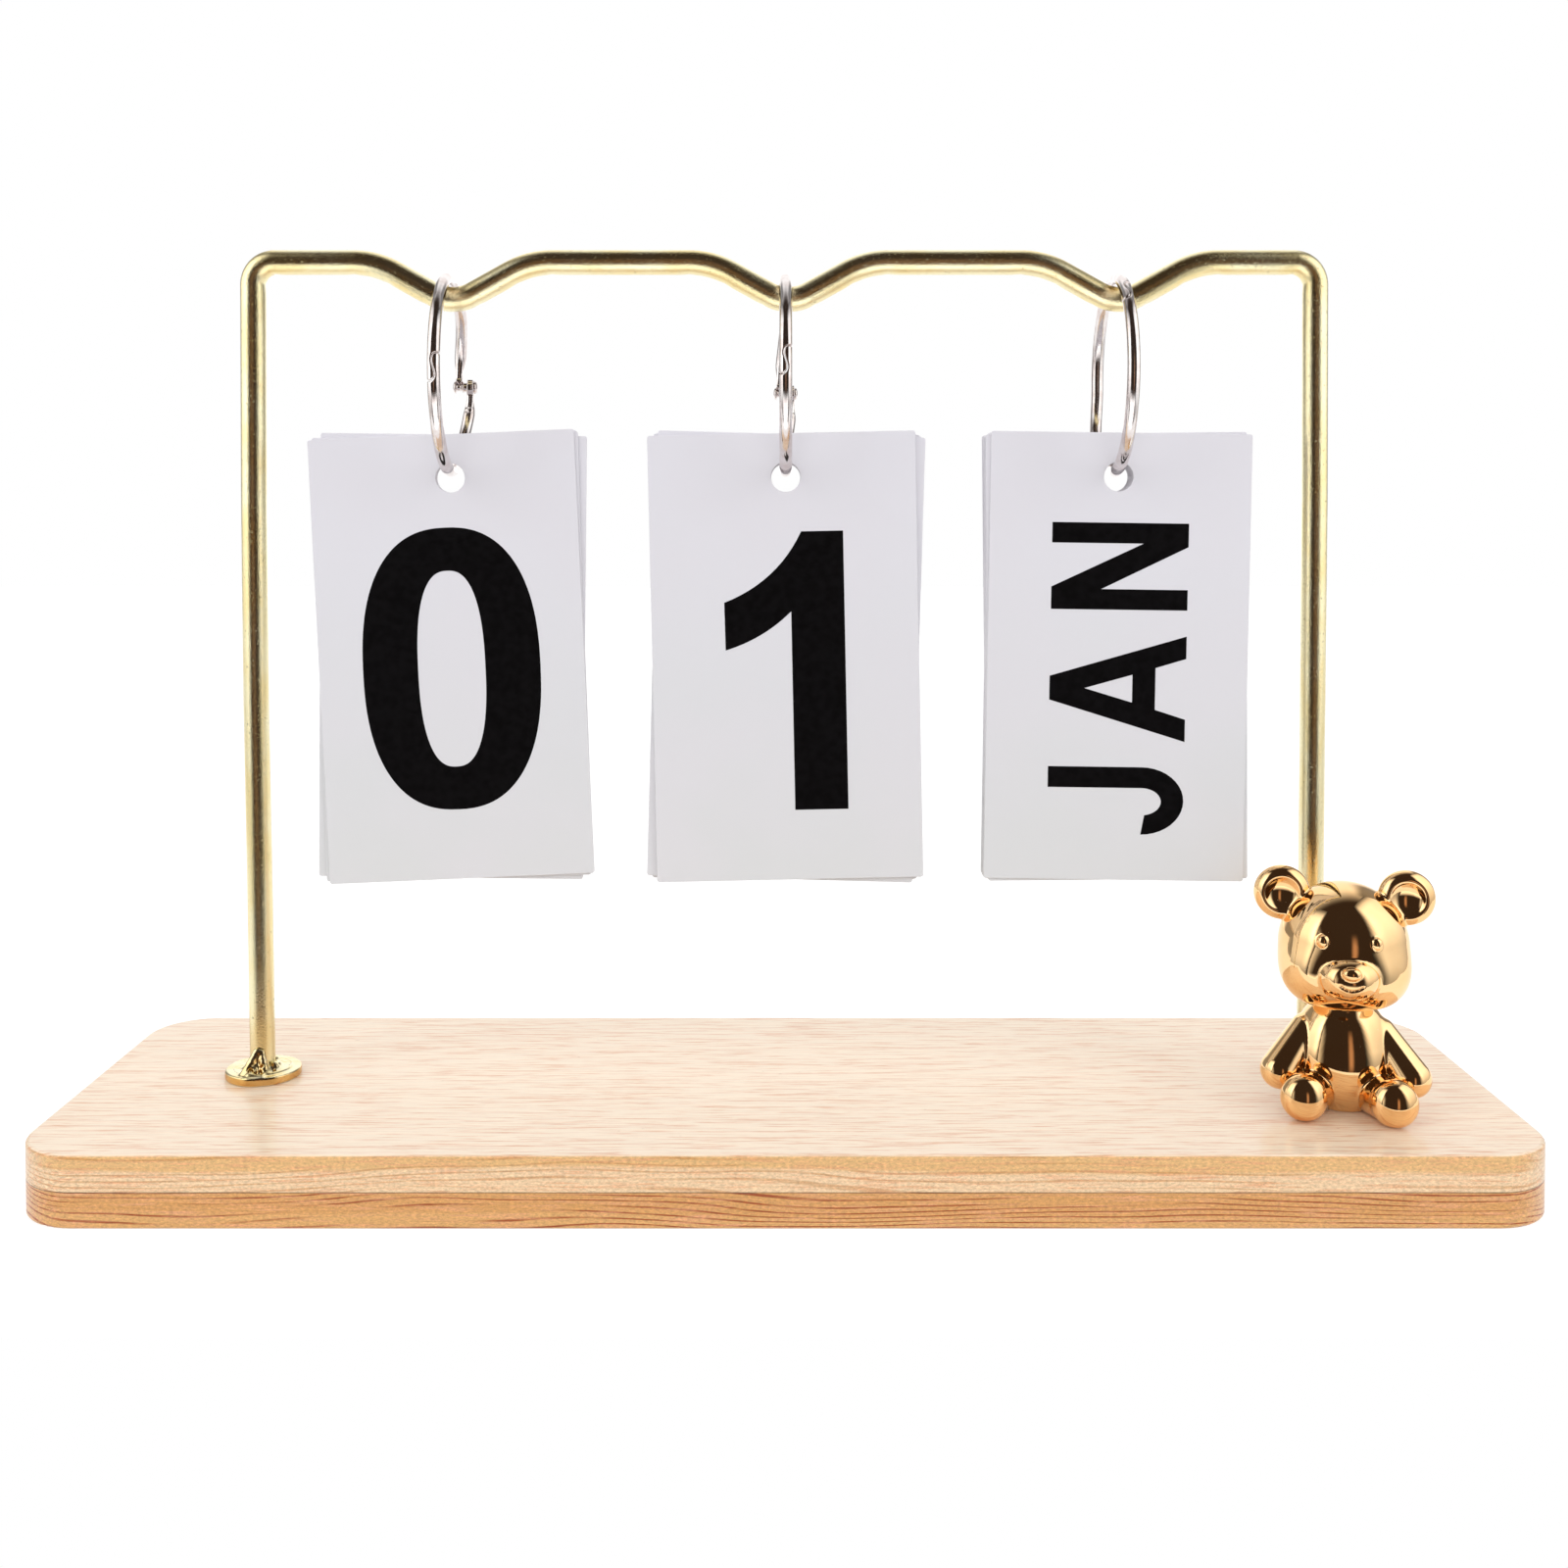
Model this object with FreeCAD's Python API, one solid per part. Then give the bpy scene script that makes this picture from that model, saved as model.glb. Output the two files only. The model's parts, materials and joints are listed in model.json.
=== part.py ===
import FreeCAD, Part
import os
from math import atan2, cos, degrees, radians, sin, sqrt, tan

# Flip desk calendar. Millimetres, +Z up, +X to the right, -Y towards the reader.
# The origin is the centre of the base's underside.

# ---- Driving dimensions ----

# Base: two bamboo plies glued one on the other
base_depth = 80.0
base_end_overhang = 33.1  # from a post's axis to the end of the base
top_ply_thickness = 6.7
bottom_ply_thickness = 6.7
base_corner_radius = 12.0
base_edge_round = 0.7

# Frame: one bent steel wire
wire_diameter = 5.0
post_setback = 42.0  # from the base's front edge to the posts' plane
end_margin = 39.2  # from the outer ring's plane to the post's axis
rail_corner_bend = 4.5  # bend radii are those of the wire's centreline
dip_slope = 29.0
dip_depth = 8.6  # to the sharp corner of the V, before it is rounded
dip_bottom_bend = 8.5
dip_shoulder_bend = 17.0

# Flange welded to each post's foot
flange_diameter = 15.2
flange_thickness = 1.5
flange_edge_round = 0.4
weld_height = 3.4
weld_width = 2.1
weld_bulge_height = 0.4

# Nut and washer under the base, in a counterbore
washer_diameter = 10.0
washer_thickness = 1.0
nut_width = 8.0  # across the flats
nut_height = 3.9
nut_recess = 0.6  # from the nut's lower face to the base's underside
counterbore_clearance = 1.6  # round the washer
stud_hole_clearance = 0.2  # round the wire in the plies and the washer
close_fit = 0.05  # radial: wire in flange and nut, rivet in the ring's tabs, neck peg

# Cards
card_width = 53.6
card_height = 89.8
card_thickness = 0.4
card_gap = 0.1
card_corner_radius = 0.5
card_spacing = 13.9  # between the edges of neighbouring stacks
hole_diameter = 5.9
hole_margin = 8.8  # from the card's top edge to the hole's centre
under_card_gap = 40.4  # from the base's top to the cards' lower edges

# Binder rings
ring_diameter = 41.0
ring_wire = 2.5
hang_gap = 0.3  # ring over rail, and card hole over ring
hinge_drop = 3.0  # degrees from the ring's diameter to the hinge
lap_length = 4.6  # length of the latch's lap joint
lap_gap = 0.16
tab_width = 2.8
tab_thickness = 1.2
tab_gap = 1.2
tab_length = 5.0
tab_end_gap = 0.5
rivet_diameter = 1.6
rivet_head_diameter = 2.5
rivet_head_thickness = 0.7
rivet_head_round = 0.25
rivet_collar_diameter = 2.2

# Each stack: its cards from front to back, how much narrower they are cut than card_width, how far
# the ring is turned on the rail (degrees, latch upwards), how far off centre the first cards' holes
# are, how far the others' holes vary, and how far to the right of their even places the ring and its
# dip are
STACKS = [
    ("tens", ["0", "1", "2", "3"], 0.0, 0.0, [1.55, 0.95, -0.45, 1.3], 0.0, 0.2, 0.8),
    ("units", ["1", "2", "3", "4", "5", "6", "7", "8", "9", "0"], 0.0, 4.0, [0.75], 1.0, 0.1, 0.7),
    ("month", ["jan", "feb", "mar", "apr", "may", "jun",
               "jul", "aug", "sep", "oct", "nov", "dec"], 1.4, 50.0, [-0.5], 0.5, -0.9, -0.4),
]
scatter_step = 137.5  # degrees; spreads the holes' offsets without repeating

# Seated bear figure: x is across, y forwards is negative, z is above the seat
bear_turn = 12.0  # degrees towards the middle of the base
bear_side_shift = 1.2
bear_flange_gap = 0.4
torso_width = 19.6
torso_depth = 16.2
torso_height = 21.6
torso_base_cut = 1.6
arm_diameter = 7.2
shoulder_x = 6.5
shoulder_y = -0.7
shoulder_drop = 5.1
hand_x = 12.4
hand_y = -4.6
hand_z = 7.2
leg_diameter = 7.6
hip_x = 4.9
hip_y = -3.2
ankle_x = 7.5
ankle_y = -9.6
leg_z = 3.5
foot_diameter = 9.0
foot_depth = 6.6
foot_x = 8.1
foot_y = -10.9
foot_z = 4.2
tail_diameter = 5.0
tail_y = 6.8
tail_z = 4.0
neck_diameter = 10.0
neck_overlap = 3.0
neck_peg_diameter = 5.0
neck_peg_length = 4.0
head_width = 24.5
head_depth = 22.0
head_height = 24.8
head_sink = 1.4  # cut flat where it meets the neck
ear_diameter = 10.6
ear_thickness = 5.0
ear_dish_diameter = 7.0
ear_dish_depth = 1.1
ear_angle = 50.0
ear_reach = 15.0
muzzle_width = 11.2
muzzle_depth = 8.8
muzzle_height = 8.6
muzzle_y = -9.4
muzzle_drop = 3.8
nose_width = 3.4
nose_depth = 2.4
nose_height = 2.4
nose_y = -13.5
nose_rise = 1.9  # above the muzzle's middle
eye_diameter = 2.2
eye_spacing = 9.6
eye_rise = 2.8

overcut = 1.0  # how far a cutting shape reaches past what it cuts
tolerance = 0.001  # for picking edges by their place

# ---- Places that follow from them ----

wire_radius = wire_diameter / 2
ring_radius = (ring_diameter - ring_wire) / 2
ring_wire_radius = ring_wire / 2
ring_pitch = card_width + card_spacing
post_x = ring_pitch * (len(STACKS) - 1) / 2 + end_margin
base_length = 2 * (post_x + base_end_overhang)
base_top = top_ply_thickness + bottom_ply_thickness
post_y = post_setback - base_depth / 2

hole_centre_z = base_top + under_card_gap + card_height - hole_margin
ring_inner_radius = ring_radius - ring_wire_radius
ring_centre_z = hole_centre_z + hole_diameter / 2 - hang_gap + ring_inner_radius
dip_centre_z = ring_centre_z + ring_inner_radius - hang_gap - wire_radius
dip_rounding = dip_bottom_bend * (1 / cos(radians(dip_slope)) - 1)
rail_z = dip_centre_z - dip_rounding + dip_depth
dip_half_width = dip_depth / tan(radians(dip_slope))

counterbore_depth = nut_recess + nut_height + washer_thickness
hinge_angle = 180.0 + hinge_drop
lap_half_angle = degrees(lap_length / 2 / ring_radius)
lap_gap_angle = degrees(lap_gap / ring_radius)
tab_angle = degrees(tab_length / ring_radius)
wire_end_angle = degrees((tab_width / 2 + tab_end_gap) / ring_radius)
tab_inner_x = tab_gap / 2
tab_outer_x = tab_gap / 2 + tab_thickness
rivet_radius = rivet_diameter / 2

X_AXIS = FreeCAD.Vector(1, 0, 0)
Y_AXIS = FreeCAD.Vector(0, 1, 0)
Z_AXIS = FreeCAD.Vector(0, 0, 1)
ORIGIN = FreeCAD.Vector(0, 0, 0)


def vec(x, y, z):
    return FreeCAD.Vector(x, y, z)


def cylinder(radius, low, high, axis=Z_AXIS):
    """A cylinder about an axis through the origin, from low to high along it."""
    return Part.makeCylinder(radius, high - low, axis * low, axis)


def moved(shape, x=0.0, y=0.0, z=0.0):
    shape = shape.copy()
    shape.translate(vec(x, y, z))
    return shape


def save(node, shape):
    shape.exportStep("parts/" + node + ".step")


# ---- Base ----

def base_ply(thickness, low, rounded_at):
    """One ply of the base, its outer edge rounded at the height of its outer face."""
    ply = Part.makeBox(base_length, base_depth, thickness, vec(-base_length / 2, -base_depth / 2, low))
    upright = [e for e in ply.Edges if abs(e.BoundBox.ZLength - thickness) < tolerance]
    ply = ply.makeFillet(base_corner_radius, upright)
    flat = [e for e in ply.Edges if e.BoundBox.ZLength < tolerance]
    rim = [e for e in flat if abs(e.BoundBox.ZMin - rounded_at) < tolerance]
    return ply.makeFillet(base_edge_round, rim)


def at_both_posts(shape):
    return [moved(shape, side * post_x, post_y) for side in (-1, 1)]


def make_base():
    stud_hole = cylinder(wire_radius + stud_hole_clearance, -overcut, base_top + overcut)
    counterbore = cylinder(washer_diameter / 2 + counterbore_clearance, -overcut, counterbore_depth)
    top_ply = base_ply(top_ply_thickness, bottom_ply_thickness, base_top)
    bottom_ply = base_ply(bottom_ply_thickness, 0, 0)
    top_ply = top_ply.cut(at_both_posts(stud_hole))
    bottom_ply = bottom_ply.cut(at_both_posts(stud_hole) + at_both_posts(counterbore))
    save("base_top_board", top_ply)
    save("base_bottom_board", bottom_ply)


# ---- Frame ----

def bent_path(corners):
    """Straight runs joined by tangent arcs. corners: (point, bend radius), the first and last unbent."""
    edges = []
    start = corners[0][0]
    for (before, _), (point, radius), (after, _) in zip(corners, corners[1:], corners[2:]):
        into = (point - before).normalize()
        out = (after - point).normalize()
        turn = into.getAngle(out)
        setback = radius * tan(turn / 2)
        bisector = (out - into).normalize()
        middle = point + bisector * (radius / cos(turn / 2) - radius)
        arc_start = point - into * setback
        arc_end = point + out * setback
        edges.append(Part.LineSegment(start, arc_start).toShape())
        edges.append(Part.Arc(arc_start, middle, arc_end).toShape())
        start = arc_end
    edges.append(Part.LineSegment(start, corners[-1][0]).toShape())
    return Part.Wire(edges)


def even_positions():
    first = -ring_pitch * (len(STACKS) - 1) / 2
    return [first + ring_pitch * i for i in range(len(STACKS))]


def ring_positions():
    return [x + shift for x, (*_, shift, _) in zip(even_positions(), STACKS)]


def dip_positions():
    return [x + shift for x, (*_, shift) in zip(even_positions(), STACKS)]


def make_frame():
    corners = [(vec(-post_x, post_y, nut_recess), 0), (vec(-post_x, post_y, rail_z), rail_corner_bend)]
    for x in dip_positions():
        corners.append((vec(x - dip_half_width, post_y, rail_z), dip_shoulder_bend))
        corners.append((vec(x, post_y, rail_z - dip_depth), dip_bottom_bend))
        corners.append((vec(x + dip_half_width, post_y, rail_z), dip_shoulder_bend))
    corners.append((vec(post_x, post_y, rail_z), rail_corner_bend))
    corners.append((vec(post_x, post_y, nut_recess), 0))
    path = bent_path(corners)
    section = Part.Wire(Part.makeCircle(wire_radius, corners[0][0], Z_AXIS))
    save("frame_wire", path.makePipeShell([section], True, False))


def make_flange():
    """A disc with a bead of weld round the post, from one turned profile."""
    bore = wire_radius + close_fit
    rim = flange_diameter / 2
    bead = bore + weld_width
    r = flange_edge_round
    top = flange_thickness
    diagonal = radians(45)
    chord = sqrt(weld_width ** 2 + weld_height ** 2)
    weld_middle_x = bore + weld_width / 2 + weld_bulge_height * weld_height / chord
    weld_middle_z = top + weld_height / 2 + weld_bulge_height * weld_width / chord
    outline = [
        Part.LineSegment(vec(bore, 0, 0), vec(rim, 0, 0)),
        Part.LineSegment(vec(rim, 0, 0), vec(rim, 0, top - r)),
        Part.Arc(vec(rim, 0, top - r), vec(rim - r + r * cos(diagonal), 0, top - r + r * sin(diagonal)),
                 vec(rim - r, 0, top)),
        Part.LineSegment(vec(rim - r, 0, top), vec(bead, 0, top)),
        Part.Arc(vec(bead, 0, top), vec(weld_middle_x, 0, weld_middle_z), vec(bore, 0, top + weld_height)),
        Part.LineSegment(vec(bore, 0, top + weld_height), vec(bore, 0, 0)),
    ]
    profile = Part.Face(Part.Wire([piece.toShape() for piece in outline]))
    return profile.revolve(ORIGIN, Z_AXIS, 360)


def hexagon(width, height):
    corner = width / 2 / cos(radians(30))
    points = [vec(corner * cos(radians(60 * i)), corner * sin(radians(60 * i)), 0) for i in range(7)]
    return Part.Face(Part.makePolygon(points)).extrude(vec(0, 0, height))


def make_fasteners():
    washer = cylinder(washer_diameter / 2, 0, washer_thickness)
    washer = washer.cut(cylinder(wire_radius + stud_hole_clearance, -overcut, washer_thickness + overcut))
    chamfer_cone = Part.makeCone(nut_width / 2, nut_width / 2 + nut_height, nut_height)
    nut = hexagon(nut_width, nut_height).common(chamfer_cone)
    nut = nut.cut(cylinder(wire_radius + close_fit, -overcut, nut_height + overcut))
    flange = make_flange()
    for side, name in ((-1, "left"), (1, "right")):
        x = side * post_x
        save(name + "_flange", moved(flange, x, post_y, base_top))
        save(name + "_washer", moved(washer, x, post_y, nut_recess + nut_height))
        save(name + "_nut", moved(nut, x, post_y, nut_recess))


# ---- Binder rings, about their own centre in the plane X = 0 ----
# Angles start at the front (-Y), where the latch is, and rise over the top to the hinge at the back.

def on_ring(radius, angle, x=0.0):
    return vec(x, -radius * cos(radians(angle)), radius * sin(radians(angle)))


def ring_wire_arc(start, end):
    tangent = vec(0, sin(radians(start)), cos(radians(start)))
    circle = Part.Wire(Part.makeCircle(ring_wire_radius, on_ring(ring_radius, start), tangent))
    return Part.Face(circle).revolve(ORIGIN, -X_AXIS, end - start)


def flat_arc(x_low, x_high, width, start, end):
    """A flat band that follows the ring, between two planes across its axis."""
    inner = ring_radius - width / 2
    outer = ring_radius + width / 2
    corners = [on_ring(inner, start, x_low), on_ring(outer, start, x_low),
               on_ring(outer, start, x_high), on_ring(inner, start, x_high), on_ring(inner, start, x_low)]
    return Part.Face(Part.makePolygon(corners)).revolve(ORIGIN, -X_AXIS, end - start)


def hinge_disc(radius, x_low, x_high):
    disc = cylinder(radius, x_low, x_high, X_AXIS)
    disc.translate(on_ring(ring_radius, hinge_angle))
    return disc


def ring_upper():
    """From the latch's left tongue over the top to the hinge's left tab."""
    tip = -lap_half_angle + lap_gap_angle
    wire = ring_wire_arc(tip, hinge_angle - wire_end_angle)
    beside = flat_arc(-lap_gap / 2, ring_wire, 2 * ring_wire, tip - lap_half_angle, lap_half_angle)
    tab = flat_arc(-tab_outer_x, -tab_inner_x, tab_width, hinge_angle - tab_angle, hinge_angle)
    tab = tab.fuse(hinge_disc(tab_width / 2, -tab_outer_x, -tab_inner_x))
    bore = hinge_disc(rivet_radius + close_fit, -tab_outer_x - overcut, tab_inner_x)
    return wire.cut(beside).fuse(tab).cut(bore).removeSplitter()


def ring_lower():
    """From the hinge's right tab under the bottom to the latch's right tongue."""
    full_turn = 360.0
    tip = full_turn + lap_half_angle - lap_gap_angle
    wire = ring_wire_arc(hinge_angle + wire_end_angle, tip)
    beside = flat_arc(-ring_wire, lap_gap / 2, 2 * ring_wire, full_turn - lap_half_angle, tip + lap_half_angle)
    tab = flat_arc(tab_inner_x, tab_outer_x, tab_width, hinge_angle, hinge_angle + tab_angle)
    tab = tab.fuse(hinge_disc(tab_width / 2, tab_inner_x, tab_outer_x))
    bore = hinge_disc(rivet_radius + close_fit, -tab_inner_x, tab_outer_x + overcut)
    return wire.cut(beside).fuse(tab).cut(bore).removeSplitter()


def ring_rivet():
    head_low = tab_outer_x + close_fit
    head_high = head_low + rivet_head_thickness
    rivet = hinge_disc(rivet_radius, -head_high, head_high)
    rivet = rivet.fuse(hinge_disc(rivet_collar_diameter / 2, close_fit - tab_inner_x, tab_inner_x - close_fit))
    for low, high, outer_face in ((-head_high, -head_low, -head_high), (head_low, head_high, head_high)):
        head = hinge_disc(rivet_head_diameter / 2, low, high)
        rim = [e for e in head.Edges if abs(e.BoundBox.Center.x - outer_face) < tolerance]
        rivet = rivet.fuse(head.makeFillet(rivet_head_round, rim))
    return rivet.removeSplitter()


def make_rings():
    pieces = {"upper": ring_upper(), "lower": ring_lower(), "rivet": ring_rivet()}
    for (name, _, _, turn, *_), x in zip(STACKS, ring_positions()):
        for part_name, shape in pieces.items():
            placed = shape.copy()
            placed.rotate(ORIGIN, X_AXIS, -turn)
            save(name + "_ring_" + part_name, moved(placed, x, post_y, ring_centre_z))


# ---- Cards ----

def card_offsets(count, first_offsets, spread):
    """How far each card's hole is off centre, from front to back."""
    others = range(len(first_offsets), count)
    return first_offsets + [spread * sin(radians(scatter_step * i)) for i in others]


def card_tilt(offset):
    """A card hangs with its centre of gravity under the ring."""
    return degrees(atan2(offset, card_height / 2 - hole_margin))


def card_plane(index, count):
    """Distance of a card's mid-plane behind the ring's centre."""
    return (index - (count - 1) / 2) * (card_thickness + card_gap)


def hole_height(distance):
    """Height of a card's hole centre, so that its upper edge clears the wire it hangs on."""
    farthest = abs(distance) + card_thickness / 2
    wire_top = ring_centre_z - sqrt(ring_inner_radius ** 2 - farthest ** 2)
    return wire_top + hang_gap - hole_diameter / 2


def make_card(width, offset):
    """A card with its hole's centre at the origin, standing in the plane Y = 0."""
    left = -width / 2 - offset
    card = Part.makeBox(width, card_thickness, card_height,
                        vec(left, -card_thickness / 2, hole_margin - card_height))
    corners = [e for e in card.Edges if abs(e.BoundBox.YLength - card_thickness) < tolerance]
    card = card.makeFillet(card_corner_radius, corners)
    return card.cut(cylinder(hole_diameter / 2, -card_thickness, card_thickness, Y_AXIS))


def make_cards():
    for (name, faces, trim, _, first_offsets, spread, *_), x in zip(STACKS, ring_positions()):
        offsets = card_offsets(len(faces), first_offsets, spread)
        for index, (face, offset) in enumerate(zip(faces, offsets)):
            card = make_card(card_width - trim, offset)
            card.rotate(ORIGIN, -Y_AXIS, card_tilt(offset))
            distance = card_plane(index, len(faces))
            save(name + "_card_" + face, moved(card, x, post_y + distance, hole_height(distance)))


# ---- Seated bear, facing -Y with the middle of its seat at the origin ----

def ellipsoid(width, depth, height, centre):
    matrix = FreeCAD.Matrix()
    matrix.scale(width / 2, depth / 2, height / 2)
    shape = Part.makeSphere(1).transformGeometry(matrix)
    shape.translate(centre)
    return shape


def capsule(start, end, diameter):
    along = end - start
    body = Part.makeCylinder(diameter / 2, along.Length, start, along)
    return body.fuse([Part.makeSphere(diameter / 2, start), Part.makeSphere(diameter / 2, end)])


def both_sides(shape):
    return [shape, shape.mirror(ORIGIN, X_AXIS)]


def between(shape, low, high):
    """What of a shape lies between two heights."""
    box = shape.BoundBox
    box.enlarge(overcut)
    return shape.common(Part.makeBox(box.XLength, box.YLength, high - low, vec(box.XMin, box.YMin, low)))


def bear_body(neck_z):
    torso = ellipsoid(torso_width, torso_depth, torso_height, vec(0, 0, torso_height / 2 - torso_base_cut))
    shoulder = vec(shoulder_x, shoulder_y, neck_z - shoulder_drop)
    arm = capsule(shoulder, vec(hand_x, hand_y, hand_z), arm_diameter)
    leg = capsule(vec(hip_x, hip_y, leg_z), vec(ankle_x, ankle_y, leg_z), leg_diameter)
    foot = ellipsoid(foot_diameter, foot_depth, foot_diameter, vec(foot_x, foot_y, foot_z))
    tail = Part.makeSphere(tail_diameter / 2, vec(0, tail_y, tail_z))
    collar = cylinder(neck_diameter / 2, neck_z - neck_overlap, neck_z)
    peg = cylinder(neck_peg_diameter / 2, neck_z - neck_overlap, neck_z + neck_peg_length)
    body = torso.fuse(both_sides(arm) + both_sides(leg) + both_sides(foot) + [tail, collar])
    return between(body, 0, neck_z).fuse(peg)


def bear_head(neck_z):
    centre_z = neck_z + head_height / 2 - head_sink
    muzzle_z = centre_z - muzzle_drop
    ear_centre = vec(ear_reach * sin(radians(ear_angle)), 0, centre_z + ear_reach * cos(radians(ear_angle)))
    eye_slant = sqrt(1 - (eye_spacing / head_width) ** 2 - (2 * eye_rise / head_height) ** 2)
    head = ellipsoid(head_width, head_depth, head_height, vec(0, 0, centre_z))
    ear = ellipsoid(ear_diameter, ear_thickness, ear_diameter, ear_centre)
    dish = ellipsoid(ear_dish_diameter, 2 * ear_dish_depth, ear_dish_diameter,
                     ear_centre - vec(0, ear_thickness / 2, 0))
    muzzle = ellipsoid(muzzle_width, muzzle_depth, muzzle_height, vec(0, muzzle_y, muzzle_z))
    nose = ellipsoid(nose_width, nose_depth, nose_height, vec(0, nose_y, muzzle_z + nose_rise))
    eye_centre = vec(eye_spacing / 2, -eye_slant * head_depth / 2, centre_z + eye_rise)
    eye = Part.makeSphere(eye_diameter / 2, eye_centre)
    head = head.fuse(both_sides(ear) + both_sides(eye) + [muzzle, nose]).cut(both_sides(dish))
    socket = cylinder(neck_peg_diameter / 2 + close_fit, neck_z, neck_z + neck_peg_length + close_fit)
    return between(head, neck_z, head.BoundBox.ZMax + overcut).cut(socket)


def make_bear():
    """The figure sits in front of the right post, clear of its flange, turned towards the middle."""
    seat_x = post_x + bear_side_shift
    seat_y = post_y - flange_diameter / 2 - bear_flange_gap - torso_depth / 2
    neck_z = torso_height - torso_base_cut
    for node, shape in (("bear_body", bear_body(neck_z)), ("bear_head", bear_head(neck_z))):
        shape.rotate(ORIGIN, Z_AXIS, -bear_turn)
        save(node, moved(shape, seat_x, seat_y, base_top))


os.makedirs("parts", exist_ok=True)
make_base()
make_frame()
make_fasteners()
make_rings()
make_cards()
make_bear()
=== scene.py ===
import json
from math import atan2, ceil, cos, exp, pi, radians, sin, tan

import bmesh
import bpy
import numpy as np
from mathutils import Matrix, Vector


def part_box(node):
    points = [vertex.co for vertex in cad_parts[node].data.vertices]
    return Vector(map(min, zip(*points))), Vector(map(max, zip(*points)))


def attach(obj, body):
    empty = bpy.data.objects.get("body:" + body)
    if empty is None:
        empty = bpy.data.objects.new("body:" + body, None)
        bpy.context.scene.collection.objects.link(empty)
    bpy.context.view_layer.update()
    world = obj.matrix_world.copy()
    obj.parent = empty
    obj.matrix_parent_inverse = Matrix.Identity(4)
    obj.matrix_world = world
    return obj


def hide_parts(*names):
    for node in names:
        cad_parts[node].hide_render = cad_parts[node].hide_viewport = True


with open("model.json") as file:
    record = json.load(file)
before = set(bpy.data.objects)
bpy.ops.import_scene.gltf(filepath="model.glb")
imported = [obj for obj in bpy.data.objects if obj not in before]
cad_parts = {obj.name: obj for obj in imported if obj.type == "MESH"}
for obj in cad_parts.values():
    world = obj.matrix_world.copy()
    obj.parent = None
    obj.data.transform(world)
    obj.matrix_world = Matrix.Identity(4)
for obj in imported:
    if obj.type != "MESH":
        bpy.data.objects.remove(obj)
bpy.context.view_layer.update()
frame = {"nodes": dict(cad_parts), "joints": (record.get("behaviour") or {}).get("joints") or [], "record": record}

MM = 0.001
SCENE = bpy.context.scene
nodes_of = frame["nodes"]
body_of_node = {n: body for body, names in frame["record"]["behaviour"]["bodies"].items() for n in names}
joint_place = {joint["name"]: Vector(joint["pos_m"]) for joint in frame["joints"]}

# ---- Places, read from the frame ----

wire_low, wire_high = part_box("frame_wire")
wire_radius = (wire_high.y - wire_low.y) / 2
post_x = wire_high.x - wire_radius
post_y = (wire_high.y + wire_low.y) / 2
rail_z = wire_high.z - wire_radius
base_low, base_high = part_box("base_top_board")
base_top = base_high.z
glue_line_z = base_low.z
flange_low, flange_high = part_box("left_flange")

STACKS = {
    "tens": ["0", "1", "2", "3"],
    "units": ["1", "2", "3", "4", "5", "6", "7", "8", "9", "0"],
    "month": ["jan", "feb", "mar", "apr", "may", "jun", "jul", "aug", "sep", "oct", "nov", "dec"],
}


# ---- Meshes ----

def mesh_object(name, points, faces, smooth=True):
    mesh = bpy.data.meshes.new(name)
    mesh.from_pydata([tuple(p) for p in points], [], [tuple(f) for f in faces])
    mesh.validate()
    mesh.polygons.foreach_set("use_smooth", [smooth] * len(mesh.polygons))
    mesh.update()
    piece = bpy.data.objects.new(name, mesh)
    SCENE.collection.objects.link(piece)
    return piece


def face_outwards(piece):
    """Joins doubled points and turns every face of a closed mesh outwards."""
    edit = bmesh.new()
    edit.from_mesh(piece.data)
    bmesh.ops.remove_doubles(edit, verts=edit.verts, dist=1e-7)
    bmesh.ops.recalc_face_normals(edit, faces=edit.faces)
    edit.to_mesh(piece.data)
    edit.free()
    return piece


def place(piece, matrix):
    piece.data.transform(matrix)
    piece.data.update()
    return piece


def tube_faces(rounds, sides):
    """Faces that join rounds of points into a closed tube, with a cap at each end."""
    faces = []
    for i in range(rounds - 1):
        for k in range(sides):
            a, b = i * sides + k, i * sides + (k + 1) % sides
            faces.append((a, a + sides, b + sides, b))
    last = (rounds - 1) * sides
    return faces + [tuple(range(sides)), tuple(reversed(range(last, last + sides)))]


def dress(piece, looks, body, slot, *replaced):
    """Gives a finished piece its materials, by name, and its place in the frame."""
    piece.data.materials.clear()
    for look in looks:
        piece.data.materials.append(materials[look])
    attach(piece, body)
    if replaced:
        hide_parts(*replaced)
    return piece


# ---- Implicit surfaces: distances in millimetres, points in rows ----

def length(v):
    return np.sqrt((v * v).sum(-1))


def blend(a, b, reach):
    """The union of two shapes, with a fillet about as wide as reach between them."""
    overlap = np.maximum(reach - np.abs(a - b), 0) / reach
    return np.minimum(a, b) - overlap * overlap * reach / 4


def carve(shape, tool, reach):
    return -blend(-shape, tool, reach)


def ellipsoid(p, centre, radii):
    q = (p - np.array(centre)) / np.array(radii)
    near = length(q)
    return near * (near - 1) / np.maximum(length(q / np.array(radii)), 1e-6)


def rod(p, start, end, start_radius, end_radius):
    """A rod with round ends whose radius runs evenly from one end to the other."""
    start, end = np.array(start, float), np.array(end, float)
    along = end - start
    t = np.clip(((p - start) @ along) / (along @ along), 0, 1)[:, None]
    return length(p - start - t * along) - (start_radius + (end_radius - start_radius) * t[:, 0])


def step_between(low, high, value):
    """0 below low, 1 above high, and smooth between them."""
    t = np.clip((value - low) / (high - low), 0, 1)
    return t * t * (3 - 2 * t)


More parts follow.
